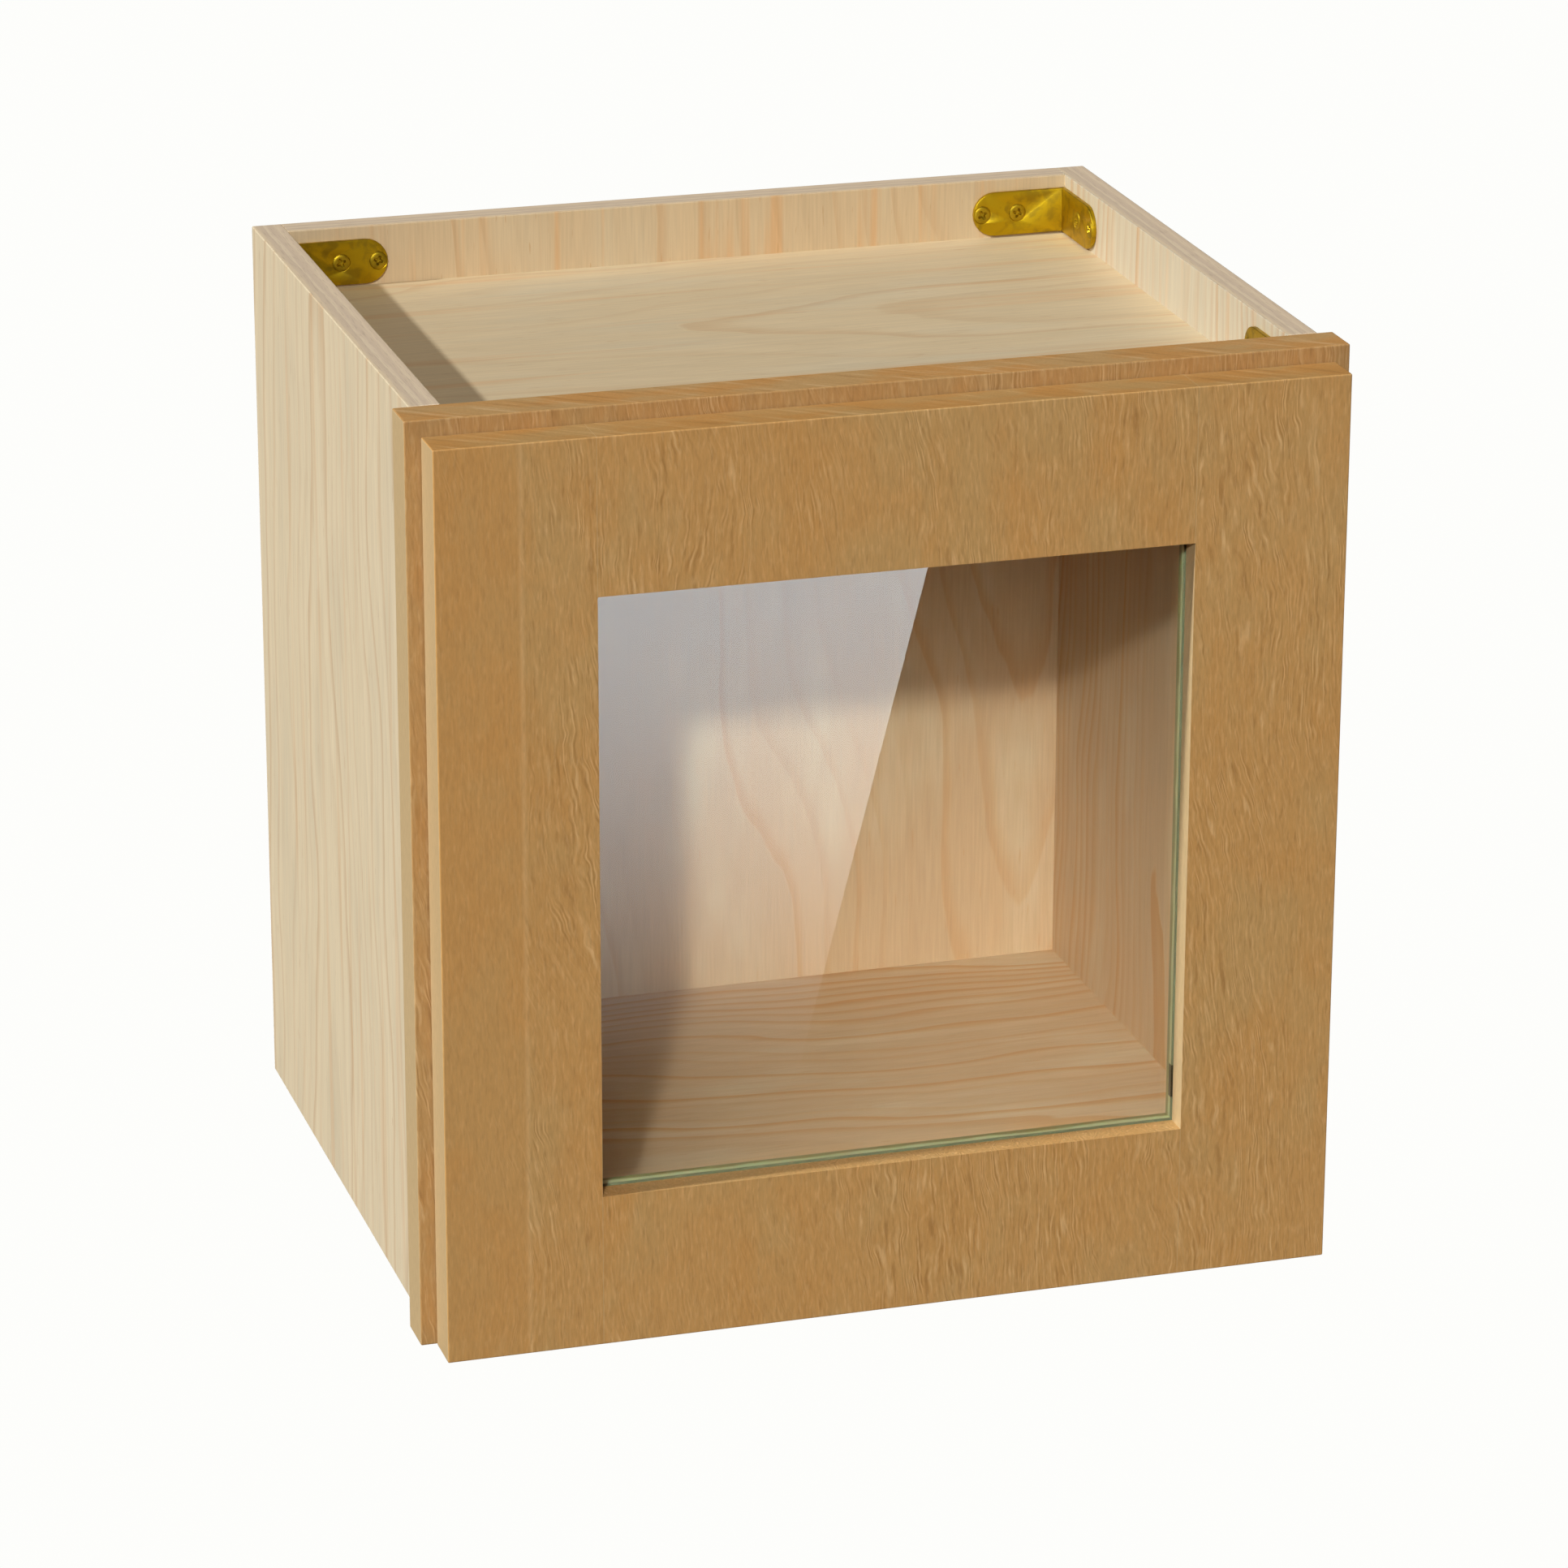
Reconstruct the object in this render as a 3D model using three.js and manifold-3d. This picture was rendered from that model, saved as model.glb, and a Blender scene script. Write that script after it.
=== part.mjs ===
// Face-frame wall cabinet with one framed glass door, used as a small wall showcase.
//
// Millimetres, +Z up. The origin is the centre of the back face, which lies on the wall plane Y = 0.
// The door is at the front, towards -Y, and hangs on two concealed cup hinges at the +X side.
import * as THREE from "three";
import { mergeVertices } from "three/addons/utils/BufferGeometryUtils.js";
import Module from "manifold-3d";

const wasm = await Module();
wasm.setup();

// ---------------------------------------------------------------- driving dimensions

const WIDTH = 381;
const HEIGHT = 381;
const CARCASS_DEPTH = 279.4;
const PLYWOOD = 12.7;
const SIDE_INSET = 6.35; // sides stand in from the face frame's outer edges
const TOP_RECESS = 25.4; // top deck below the panels' top edges
const FLOOR_RECESS = 9.525; // bottom deck above the panels' bottom edges

const FRAME_THICKNESS = 19.05;
const FRAME_MEMBER = 38.1; // width of the face frame's stiles and rails

const DOOR_GAP = 0.8; // bumper gap between the face frame and the closed door
const DOOR_THICKNESS = 18.25;
const DOOR_REVEAL = 6.35; // face frame left showing at the sides and the top
const DOOR_MEMBER = 63.5; // width of the door's stiles and rails

const LIP_DEPTH = 10; // wood in front of the glass
const RABBET = 6.35; // how far the glass rebate reaches past the window
const PANE_THICKNESS = 4;
const PANE_PLAY = 0.5; // gap all round the pane, for wood movement
const STRIP_PLAY = 0.3;
const STRIP_PROUD = 2; // glazing strips stand behind the door's back by this

const BRACKET_LEG = 42;
const BRACKET_HEIGHT = 19.05;
const BRACKET_THICKNESS = 2;
const BRACKET_BELOW_EDGE = 5.4;
const BRACKET_SCREWS = [22, 38]; // distances from the corner along each leg

const HINGE_SPREAD = 101.6; // each hinge above and below the door's middle
const CUP_RADIUS = 17.5;
const CUP_DEPTH = 11.5;
const CUP_WALL = 1.2;
const CUP_X = 161.5;
const CUP_WING = { inner: 146.4, outer: 157.6, halfHeight: 29, thickness: 1.4 };
const CUP_SCREW = { x: 152, z: 22.5 };
const CUP_PLAY = 0.3;
const ARM_PIVOT = { x: 140.2, forward: 5.4 }; // forward of the face frame's back plane
const LINK_ELBOW = { x: 152.4, forward: 26.8 };
const DOOR_PIVOT = { x: 171.6, forward: 22.2 };
const LINK = { halfThickness: 1.5, halfHeight: 4, eyeRadius: 2.3 };
const PIN_RADIUS = 1;
const PIN_PLAY = 0.08;
const ARM_PLATE = { thickness: 1.8, halfHeight: 24, front: 17.5, back: 1.5 };
const ARM_EAR = { gap: 0.5, thickness: 1.5, radius: 3.2 };
const ARM_SCREW = { z: 16, forward: 9.5 };

const BUMPER = { radius: 4, thickness: 0.7, inset: 12 };

const BRACKET_SCREW = { headRadius: 3.75, headHeight: 2, shankRadius: 1.5, length: 10 };
const HINGE_SCREW = { headRadius: 3, headHeight: 1.4, shankRadius: 1.3, length: 11 };
const PLATE_SCREW = { headRadius: 3.2, headHeight: 1.8, shankRadius: 1.4, length: 13 };
const SCREW_PLAY = 0.3; // clearance round a screw's head and shank

const ROUND_SEGMENTS = 12;
const CUP_SEGMENTS = 36;

// ---------------------------------------------------------------- derived planes

const SIDE_OUT = WIDTH / 2 - SIDE_INSET;
const SIDE_IN = SIDE_OUT - PLYWOOD;
const TOP = HEIGHT / 2;
const BOTTOM = -HEIGHT / 2;
const BACK_IN = -PLYWOOD;
const FRAME_BACK = -CARCASS_DEPTH;
const FRAME_FRONT = FRAME_BACK - FRAME_THICKNESS;
const FRAME_IN = WIDTH / 2 - FRAME_MEMBER;
const DOOR_BACK = FRAME_FRONT - DOOR_GAP;
const DOOR_FRONT = DOOR_BACK - DOOR_THICKNESS;
const DOOR_OUT = WIDTH / 2 - DOOR_REVEAL;
const DOOR_TOP = TOP - DOOR_REVEAL;
const DOOR_MIDDLE = (DOOR_TOP + BOTTOM) / 2;
const WINDOW_OUT = DOOR_OUT - DOOR_MEMBER;
const WINDOW_TOP = DOOR_TOP - DOOR_MEMBER;
const WINDOW_BOTTOM = BOTTOM + DOOR_MEMBER;
const PANE_FRONT = DOOR_FRONT + LIP_DEPTH;
const PANE_BACK = PANE_FRONT + PANE_THICKNESS;
const STRIP_BACK = DOOR_BACK + STRIP_PROUD;
const BRACKET_MIDDLE = TOP - BRACKET_BELOW_EDGE - BRACKET_HEIGHT / 2;
const HINGE_HEIGHTS = { lower: DOOR_MIDDLE - HINGE_SPREAD, upper: DOOR_MIDDLE + HINGE_SPREAD };

// ---------------------------------------------------------------- materials

const finish = (color, roughness, metalness, extra = {}) =>
  new THREE.MeshStandardMaterial({ color, roughness, metalness, ...extra });

const plywood = finish(0xdcc79f, 0.6, 0);
const hardwood = finish(0xb58a56, 0.5, 0);
const glass = finish(0xd8e6e0, 0.05, 0, { transparent: true, opacity: 0.35 });
const vinyl = finish(0xa9b79a, 0.35, 0);
const brass = finish(0x9a7414, 0.32, 1);
const steel = finish(0xb8b9ba, 0.3, 1);
const rubber = finish(0xe4e6e2, 0.6, 0);

// ---------------------------------------------------------------- geometry helpers

const QUARTER_TURN = Math.PI / 2;

/** A box given by its low and high value on each axis, so that boards that meet share the same numbers. */
function block([x0, x1], [y0, y1], [z0, z1]) {
  const geometry = new THREE.BoxGeometry(2, 2, 2);
  const position = geometry.getAttribute("position");
  for (let i = 0; i < position.count; i++) {
    position.setXYZ(
      i,
      position.getX(i) < 0 ? x0 : x1,
      position.getY(i) < 0 ? y0 : y1,
      position.getZ(i) < 0 ? z0 : z1,
    );
  }
  return geometry;
}

/** A cylinder along one axis, from one coordinate to another on that axis. */
function rod(axis, radius, from, to, [u, v], segments = ROUND_SEGMENTS) {
  const geometry = new THREE.CylinderGeometry(radius, radius, Math.abs(to - from), segments);
  const middle = (from + to) / 2;
  if (axis === "x") return geometry.rotateZ(QUARTER_TURN).translate(middle, u, v);
  if (axis === "y") return geometry.translate(u, middle, v);
  return geometry.rotateX(QUARTER_TURN).translate(u, v, middle);
}

/** The manifold solid of a closed geometry. */
function solid(geometry) {
  const bare = geometry.clone();
  bare.deleteAttribute("normal");
  bare.deleteAttribute("uv");
  const merged = mergeVertices(bare, 1e-4);
  return new wasm.Manifold(
    new wasm.Mesh({
      numProp: 3,
      vertProperties: merged.getAttribute("position").array,
      triVerts: new Uint32Array(merged.index.array),
    }),
  );
}

/** A flat-shaded geometry of a manifold solid. */
function shaded(manifold) {
  const mesh = manifold.getMesh();
  const geometry = new THREE.BufferGeometry();
  geometry.setAttribute("position", new THREE.BufferAttribute(mesh.vertProperties, 3));
  geometry.setIndex(new THREE.BufferAttribute(mesh.triVerts, 1));
  const flat = geometry.toNonIndexed();
  flat.computeVertexNormals();
  return flat;
}

/** One geometry made by joining some geometries and cutting others away. */
function carve(joined, removed = []) {
  let body = solid(joined[0]);
  for (const geometry of joined.slice(1)) body = body.add(solid(geometry));
  for (const geometry of removed) body = body.subtract(solid(geometry));
  return shaded(body);
}

/** A named mesh, added to a group. */
function piece(group, name, geometry, material) {
  const mesh = new THREE.Mesh(geometry, material);
  mesh.name = name;
  group.add(mesh);
  return mesh;
}

/** The holes for a countersunk screw whose head lies in the plane z = 0 and whose tip points to -Z. */
function screwHole(size) {
  const top = 0.5;
  const slope = (size.headRadius - size.shankRadius) / size.headHeight;
  const shank = size.shankRadius + SCREW_PLAY;
  const mouth = size.headRadius + SCREW_PLAY;
  return new THREE.LatheGeometry(
    [
      new THREE.Vector2(0, -size.length - SCREW_PLAY),
      new THREE.Vector2(shank, -size.length - SCREW_PLAY),
      new THREE.Vector2(shank, -size.headHeight),
      new THREE.Vector2(mouth + slope * top, top),
      new THREE.Vector2(0, top),
    ],
    ROUND_SEGMENTS,
  ).rotateX(QUARTER_TURN);
}

/** A countersunk cross-recess screw, head up in the plane z = 0, tip towards -Z. */
function screwBody(size) {
  const tip = size.shankRadius * 1.6;
  const profile = new THREE.LatheGeometry(
    [
      new THREE.Vector2(0, -size.length),
      new THREE.Vector2(size.shankRadius, -size.length + tip),
      new THREE.Vector2(size.shankRadius, -size.headHeight),
      new THREE.Vector2(size.headRadius, 0),
      new THREE.Vector2(0, 0),
    ],
    ROUND_SEGMENTS,
  ).rotateX(QUARTER_TURN);
  const reach = size.headRadius * 0.56;
  const slot = size.headRadius * 0.13;
  const depth = [-size.headHeight * 0.6, 1];
  return carve(
    [profile],
    [block([-reach, reach], [-slot, slot], depth), block([-slot, slot], [-reach, reach], depth)],
  );
}

// Turns that point a screw's head, built facing +Z, along another axis.
const FACING = {
  "+x": new THREE.Euler(0, QUARTER_TURN, 0),
  "-x": new THREE.Euler(0, -QUARTER_TURN, 0),
  "+y": new THREE.Euler(-QUARTER_TURN, 0, 0),
  "-y": new THREE.Euler(QUARTER_TURN, 0, 0),
};

/** A screw's hole, moved to where its head lies. */
function holeAt({ size, facing, at }) {
  const matrix = new THREE.Matrix4().makeRotationFromEuler(FACING[facing]).setPosition(...at);
  return screwHole(size).applyMatrix4(matrix);
}

/** Named screws, placed by position and rotation. */
function addScrews(group, screws, material) {
  for (const { name, size, facing, at } of screws) {
    const mesh = piece(group, name, screwBody(size), material);
    mesh.position.set(...at);
    mesh.rotation.copy(FACING[facing]);
  }
}

// ---------------------------------------------------------------- corner brackets

const CORNERS = [
  { name: "back_left", side: -1, end: 1 },
  { name: "back_right", side: 1, end: 1 },
  { name: "front_left", side: -1, end: -1 },
  { name: "front_right", side: 1, end: -1 },
];

/** The corner's point, and the way each leg runs from it. */
function bracketPlace({ side, end }) {
  return {
    x: side * SIDE_IN,
    y: end > 0 ? BACK_IN : FRAME_BACK,
    alongX: -side,
    alongY: -end,
  };
}

/** The four screws of one bracket: two through the leg on the back or frame, two through the side leg. */
function bracketScrews(corner) {
  const { x, y, alongX, alongY } = bracketPlace(corner);
  const size = BRACKET_SCREW;
  return BRACKET_SCREWS.flatMap((reach, i) => [
    {
      name: `bracket_screw_${corner.name}_wall_${i + 1}`,
      size,
      facing: alongY < 0 ? "-y" : "+y",
      at: [x + alongX * reach, y + alongY * BRACKET_THICKNESS, BRACKET_MIDDLE],
    },
    {
      name: `bracket_screw_${corner.name}_side_${i + 1}`,
      size,
      facing: alongX < 0 ? "-x" : "+x",
      at: [x + alongX * BRACKET_THICKNESS, y + alongY * reach, BRACKET_MIDDLE],
    },
  ]);
}

/** An L bracket with rounded leg ends, bent round a vertical line in the corner. */
function bracketBody(corner) {
  const { x, y, alongX, alongY } = bracketPlace(corner);
  const half = BRACKET_HEIGHT / 2;
  const span = (start, length) => [Math.min(start, start + length), Math.max(start, start + length)];
  const height = [BRACKET_MIDDLE - half, BRACKET_MIDDLE + half];
  const straight = BRACKET_LEG - half;
  const thickX = alongX * BRACKET_THICKNESS;
  const thickY = alongY * BRACKET_THICKNESS;
  const segments = 2 * ROUND_SEGMENTS;
  return carve(
    [
      block(span(x, alongX * straight), span(y, thickY), height),
      rod("y", half, y, y + thickY, [x + alongX * straight, BRACKET_MIDDLE], segments),
      block(span(x, thickX), span(y, alongY * straight), height),
      rod("x", half, x, x + thickX, [y + alongY * straight, BRACKET_MIDDLE], segments),
    ],
    bracketScrews(corner).map(holeAt),
  );
}

const allBracketScrews = CORNERS.flatMap(bracketScrews);
const screwsIn = (pattern) => allBracketScrews.filter((screw) => pattern.test(screw.name));

// ---------------------------------------------------------------- hinges

const forward = (distance) => FRAME_BACK - distance;

/** The screws of one hinge: two through the cup's wings, two through the arm's plate. */
function hingeScrews(level, z) {
  return [-1, 1].flatMap((way) => {
    const end = way < 0 ? "below" : "above";
    return [
      {
        name: `cup_screw_${level}_${end}`,
        size: HINGE_SCREW,
        facing: "+y",
        at: [CUP_SCREW.x, DOOR_BACK, z + way * CUP_SCREW.z],
      },
      {
        name: `arm_screw_${level}_${end}`,
        size: PLATE_SCREW,
        facing: "-x",
        at: [FRAME_IN - ARM_PLATE.thickness, forward(ARM_SCREW.forward), z + way * ARM_SCREW.z],
      },
    ];
  });
}

const cupScrews = (level, z) => hingeScrews(level, z).filter((screw) => screw.name.startsWith("cup"));
const armScrews = (level, z) => hingeScrews(level, z).filter((screw) => screw.name.startsWith("arm"));

/** The wings of a cup, or with some play the pocket that they lie in. */
function cupWing(z, play = 0) {
  const { inner, outer, halfHeight, thickness } = CUP_WING;
  return block(
    [inner - play, outer + play],
    [DOOR_BACK - thickness - play, DOOR_BACK + (play ? 1 : 0)],
    [z - halfHeight - play, z + halfHeight + play],
  );
}

/** A hinge cup with two screw wings, open towards the cabinet. */
function cupBody(level, z) {
  const centre = [CUP_X, z];
  const floor = DOOR_BACK - CUP_DEPTH + CUP_WALL;
  const pocket = rod("y", CUP_RADIUS - CUP_WALL, floor, DOOR_BACK + 1, centre, CUP_SEGMENTS);
  const reach = CUP_RADIUS + 1;
  const pinHole = rod("z", PIN_RADIUS + PIN_PLAY, z - reach, z + reach, [
    DOOR_PIVOT.x,
    forward(DOOR_PIVOT.forward),
  ]);
  return carve(
    [rod("y", CUP_RADIUS, DOOR_BACK - CUP_DEPTH, DOOR_BACK, centre, CUP_SEGMENTS), cupWing(z)],
    [pocket, pinHole, ...cupScrews(level, z).map(holeAt)],
  );
}

/** The arm: a plate on the stile's inner edge with two ears that hold the arm pin. */
function armBody(level, z) {
  const { thickness, halfHeight, front, back } = ARM_PLATE;
  const plateIn = FRAME_IN - thickness;
  const { x, forward: pivotForward } = ARM_PIVOT;
  const pivotY = forward(pivotForward);
  const low = LINK.halfHeight + ARM_EAR.gap;
  const high = low + ARM_EAR.thickness;
  const ears = [-1, 1].flatMap((way) => {
    const levels = [z + way * low, z + way * high].sort((a, b) => a - b);
    return [
      block([x, plateIn + thickness / 2], [pivotY - ARM_EAR.radius, pivotY + ARM_EAR.radius], levels),
      rod("z", ARM_EAR.radius, ...levels, [x, pivotY], CUP_SEGMENTS / 2),
    ];
  });
  const plate = block([plateIn, FRAME_IN], [forward(front), forward(back)], [z - halfHeight, z + halfHeight]);
  const pinHole = rod("z", PIN_RADIUS + PIN_PLAY, z - high - 1, z + high + 1, [x, pivotY]);
  return carve([plate, ...ears], [pinHole, ...armScrews(level, z).map(holeAt)]);
}

/** The cranked link that joins the arm pin to the cup pin. */
function linkBody(z) {
  const { halfThickness, halfHeight, eyeRadius } = LINK;
  const levels = [z - halfHeight, z + halfHeight];
  const points = [ARM_PIVOT, LINK_ELBOW, DOOR_PIVOT].map(
    (point) => new THREE.Vector2(point.x, forward(point.forward)),
  );
  const bar = (start, end) => {
    const run = end.clone().sub(start);
    const middle = start.clone().add(end).multiplyScalar(0.5);
    return new THREE.BoxGeometry(run.length(), 2 * halfThickness, 2 * halfHeight)
      .rotateZ(run.angle())
      .translate(middle.x, middle.y, z);
  };
  const eye = (point, radius) => rod("z", radius, ...levels, [point.x, point.y], 2 * ROUND_SEGMENTS);
  const hole = (point) =>
    rod("z", PIN_RADIUS + PIN_PLAY, levels[0] - 1, levels[1] + 1, [point.x, point.y]);
  const [armPivot, elbow, doorPivot] = points;
  return carve(
    [
      eye(armPivot, eyeRadius),
      bar(armPivot, elbow),
      eye(elbow, halfThickness),
      bar(elbow, doorPivot),
      eye(doorPivot, eyeRadius),
    ],
    [hole(armPivot), hole(doorPivot)],
  );
}

/** A hinge pin of a given half length, placed at a pivot. */
function addPin(group, name, pivot, z, halfLength) {
  const mesh = piece(group, name, rod("z", PIN_RADIUS, -halfLength, halfLength, [0, 0]), steel);
  mesh.position.set(pivot.x, forward(pivot.forward), z);
}

// ---------------------------------------------------------------- sub-assemblies

/** Plywood box: sides, back, and a recessed top and bottom deck. */
function makeCarcass() {
  const group = new THREE.Group();
  const inner = [-SIDE_IN, SIDE_IN];
  const depth = [FRAME_BACK, 0];
  const deckDepth = [FRAME_BACK, BACK_IN];
  const height = [BOTTOM, TOP];
  const holes = (pattern) => screwsIn(pattern).map(holeAt);
  piece(
    group,
    "left_side",
    carve([block([-SIDE_OUT, -SIDE_IN], depth, height)], holes(/left_side/)),
    plywood,
  );
  piece(
    group,
    "right_side",
    carve([block([SIDE_IN, SIDE_OUT], depth, height)], holes(/right_side/)),
    plywood,
  );
  piece(
    group,
    "back_panel",
    carve([block(inner, [BACK_IN, 0], height)], holes(/back_\w+_wall/)),
    plywood,
  );
  const deckTop = TOP - TOP_RECESS;
  const floorBottom = BOTTOM + FLOOR_RECESS;
  piece(group, "top_deck", block(inner, deckDepth, [deckTop - PLYWOOD, deckTop]), plywood);
  piece(group, "bottom_deck", block(inner, deckDepth, [floorBottom, floorBottom + PLYWOOD]), plywood);
  return group;
}

/** Solid wood face frame: full-height stiles with rails between them. */
function makeFaceFrame() {
  const group = new THREE.Group();
  const thick = [FRAME_FRONT, FRAME_BACK];
  const height = [BOTTOM, TOP];
  const between = [-FRAME_IN, FRAME_IN];
  const hingeHoles = Object.entries(HINGE_HEIGHTS).flatMap(([level, z]) => armScrews(level, z).map(holeAt));
  piece(group, "frame_left_stile", block([-WIDTH / 2, -FRAME_IN], thick, height), hardwood);
  piece(
    group,
    "frame_right_stile",
    carve([block([FRAME_IN, WIDTH / 2], thick, height)], hingeHoles),
    hardwood,
  );
  piece(
    group,
    "frame_top_rail",
    carve([block(between, thick, [TOP - FRAME_MEMBER, TOP])], screwsIn(/front_\w+_wall/).map(holeAt)),
    hardwood,
  );
  piece(group, "frame_bottom_rail", block(between, thick, [BOTTOM, BOTTOM + FRAME_MEMBER]), hardwood);
  return group;
}

/** Brass corner brackets and their screws, in the recess above the top deck. */
function makeBrackets() {
  const group = new THREE.Group();
  for (const corner of CORNERS) {
    piece(group, `corner_bracket_${corner.name}`, bracketBody(corner), brass);
  }
  addScrews(group, allBracketScrews, brass);
  return group;
}

/** Door: rebated stiles and rails, the pane and the strips that keep it in. */
function makeDoor() {
  const group = new THREE.Group();
  const thick = [DOOR_FRONT, DOOR_BACK];
  const rebate = [PANE_FRONT, DOOR_BACK];
  const past = [PANE_FRONT, DOOR_BACK + 1];
  const height = [BOTTOM, DOOR_TOP];
  const rebateOut = WINDOW_OUT + RABBET;
  const cupPockets = Object.entries(HINGE_HEIGHTS).flatMap(([level, z]) => [
    rod(
      "y",
      CUP_RADIUS + CUP_PLAY,
      DOOR_BACK - CUP_DEPTH - CUP_PLAY,
      DOOR_BACK + 1,
      [CUP_X, z],
      CUP_SEGMENTS,
    ),
    cupWing(z, CUP_PLAY),
    ...cupScrews(level, z).map(holeAt),
  ]);
  const rebateHeight = [BOTTOM - 1, DOOR_TOP + 1];
  piece(
    group,
    "door_left_stile",
    carve(
      [block([-DOOR_OUT, -WINDOW_OUT], thick, height)],
      [block([-rebateOut, -WINDOW_OUT + 1], past, rebateHeight)],
    ),
    hardwood,
  );
  piece(
    group,
    "door_right_stile",
    carve(
      [block([WINDOW_OUT, DOOR_OUT], thick, height)],
      [block([WINDOW_OUT - 1, rebateOut], past, rebateHeight), ...cupPockets],
    ),
    hardwood,
  );

  // A rail's ends are tongues that fill the stiles' rebates.
  const rail = (low, high, cutLow, cutHigh) =>
    carve(
      [
        block([-WINDOW_OUT, WINDOW_OUT], thick, [low, high]),
        block([-rebateOut, rebateOut], rebate, [low, high]),
      ],
      [block([-rebateOut - 1, rebateOut + 1], past, [cutLow, cutHigh])],
    );
  piece(
    group,
    "door_top_rail",
    rail(WINDOW_TOP, DOOR_TOP, WINDOW_TOP - 1, WINDOW_TOP + RABBET),
    hardwood,
  );
  piece(
    group,
    "door_bottom_rail",
    rail(BOTTOM, WINDOW_BOTTOM, WINDOW_BOTTOM - RABBET, WINDOW_BOTTOM + 1),
    hardwood,
  );

  const paneOut = rebateOut - PANE_PLAY;
  const paneHeight = [WINDOW_BOTTOM - RABBET + PANE_PLAY, WINDOW_TOP + RABBET - PANE_PLAY];
  piece(group, "glass_pane", block([-paneOut, paneOut], [PANE_FRONT, PANE_BACK], paneHeight), glass);

  const stripThick = [PANE_BACK, STRIP_BACK];
  const stripOut = rebateOut - STRIP_PLAY;
  const across = [-stripOut, stripOut];
  const upright = [WINDOW_BOTTOM, WINDOW_TOP];
  const stripTop = [WINDOW_TOP, WINDOW_TOP + RABBET - STRIP_PLAY];
  const stripBottom = [WINDOW_BOTTOM - RABBET + STRIP_PLAY, WINDOW_BOTTOM];
  piece(group, "glazing_strip_left", block([-stripOut, -WINDOW_OUT], stripThick, upright), vinyl);
  piece(group, "glazing_strip_right", block([WINDOW_OUT, stripOut], stripThick, upright), vinyl);
  piece(group, "glazing_strip_top", block(across, stripThick, stripTop), vinyl);
  piece(group, "glazing_strip_bottom", block(across, stripThick, stripBottom), vinyl);

  const bumperHeights = { upper: DOOR_TOP - BUMPER.inset, lower: BOTTOM + BUMPER.inset };
  for (const [level, z] of Object.entries(bumperHeights)) {
    const pad = rod("y", BUMPER.radius, 0, BUMPER.thickness, [0, 0], 2 * ROUND_SEGMENTS);
    const mesh = piece(group, `bumper_${level}`, pad, rubber);
    mesh.position.set(-DOOR_OUT + BUMPER.inset, DOOR_BACK, z);
  }
  return group;
}

/** Concealed hinges, each with an arm on the frame, a cup in the door and a link between. */
function makeHinges() {
  const group = new THREE.Group();
  const armPinReach = LINK.halfHeight + ARM_EAR.gap + ARM_EAR.thickness + 0.6;
  const cupPinReach = 13.6;
  for (const [level, z] of Object.entries(HINGE_HEIGHTS)) {
    piece(group, `hinge_arm_${level}`, armBody(level, z), steel);
    piece(group, `hinge_cup_${level}`, cupBody(level, z), steel);
    piece(group, `hinge_link_${level}`, linkBody(z), steel);
    addPin(group, `arm_pin_${level}`, ARM_PIVOT, z, armPinReach);
    addPin(group, `cup_pin_${level}`, DOOR_PIVOT, z, cupPinReach);
    addScrews(group, hingeScrews(level, z), steel);
  }
  return group;
}

const cabinet = new THREE.Group();
cabinet.add(makeCarcass(), makeFaceFrame(), makeBrackets(), makeDoor(), makeHinges());

export default cabinet;
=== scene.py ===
"""A small wall showcase: a face-frame plywood cabinet with one framed glass door.

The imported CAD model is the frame. Boards, brackets, hinges, screws and the pane are worked up here
with eased edges, cut recesses and procedural finishes, each riding on the body it belongs to.
Everything is in metres, +Z up, with the wall at Y = 0 and the door towards -Y.
"""

import logging
import math
from collections.abc import Iterable, Sequence
from dataclasses import dataclass
from enum import Enum
from typing import Any

import bmesh
import bpy
from mathutils import Matrix, Vector

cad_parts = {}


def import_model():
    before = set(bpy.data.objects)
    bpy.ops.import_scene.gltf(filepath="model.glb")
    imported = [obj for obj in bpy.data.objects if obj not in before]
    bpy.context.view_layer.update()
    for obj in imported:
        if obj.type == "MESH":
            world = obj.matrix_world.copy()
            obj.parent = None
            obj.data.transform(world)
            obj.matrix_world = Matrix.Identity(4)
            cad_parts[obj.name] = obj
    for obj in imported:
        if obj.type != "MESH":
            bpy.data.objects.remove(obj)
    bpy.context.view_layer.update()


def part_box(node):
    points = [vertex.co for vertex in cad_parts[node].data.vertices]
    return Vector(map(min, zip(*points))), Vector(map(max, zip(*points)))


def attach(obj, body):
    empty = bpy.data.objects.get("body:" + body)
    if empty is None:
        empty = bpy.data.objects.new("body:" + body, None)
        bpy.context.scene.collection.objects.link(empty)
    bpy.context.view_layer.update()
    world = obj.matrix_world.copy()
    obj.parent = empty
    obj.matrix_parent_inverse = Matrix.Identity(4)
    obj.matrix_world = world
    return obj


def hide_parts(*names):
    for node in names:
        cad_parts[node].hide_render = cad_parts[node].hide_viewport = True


LOG = logging.getLogger("showcase")

MM = 0.001
WELD = 1e-5  # corners closer than this are one corner
PLANE_TOLERANCE = 2e-5
FLAT_ANGLE = math.radians(0.6)
SMOOTH_ANGLE = math.radians(35)  # rounded faces that meet at less than this are shaded as one
GOLDEN_TURN = math.radians(137.5)
WOOD_SPECULAR = 0.35
MIX_FACTOR, MIX_START, MIX_END, MIX_RESULT = 0, 6, 7, 2  # the Mix node's sockets for colours
SKIN_INNER = 0.14  # mm under a face where its own colour starts
SKIN_OUTER = 0.04  # mm under a face where its own colour is full

Colour = tuple[float, float, float]
Point = tuple[float, float, float]
Span = tuple[float, float]
Plane = tuple["Axis", float]  # an axis, and a place on it in metres
Socket = bpy.types.NodeSocket
Node = bpy.types.Node
Material = bpy.types.Material
Work = bmesh.types.BMesh
Vert = bmesh.types.BMVert


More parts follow.
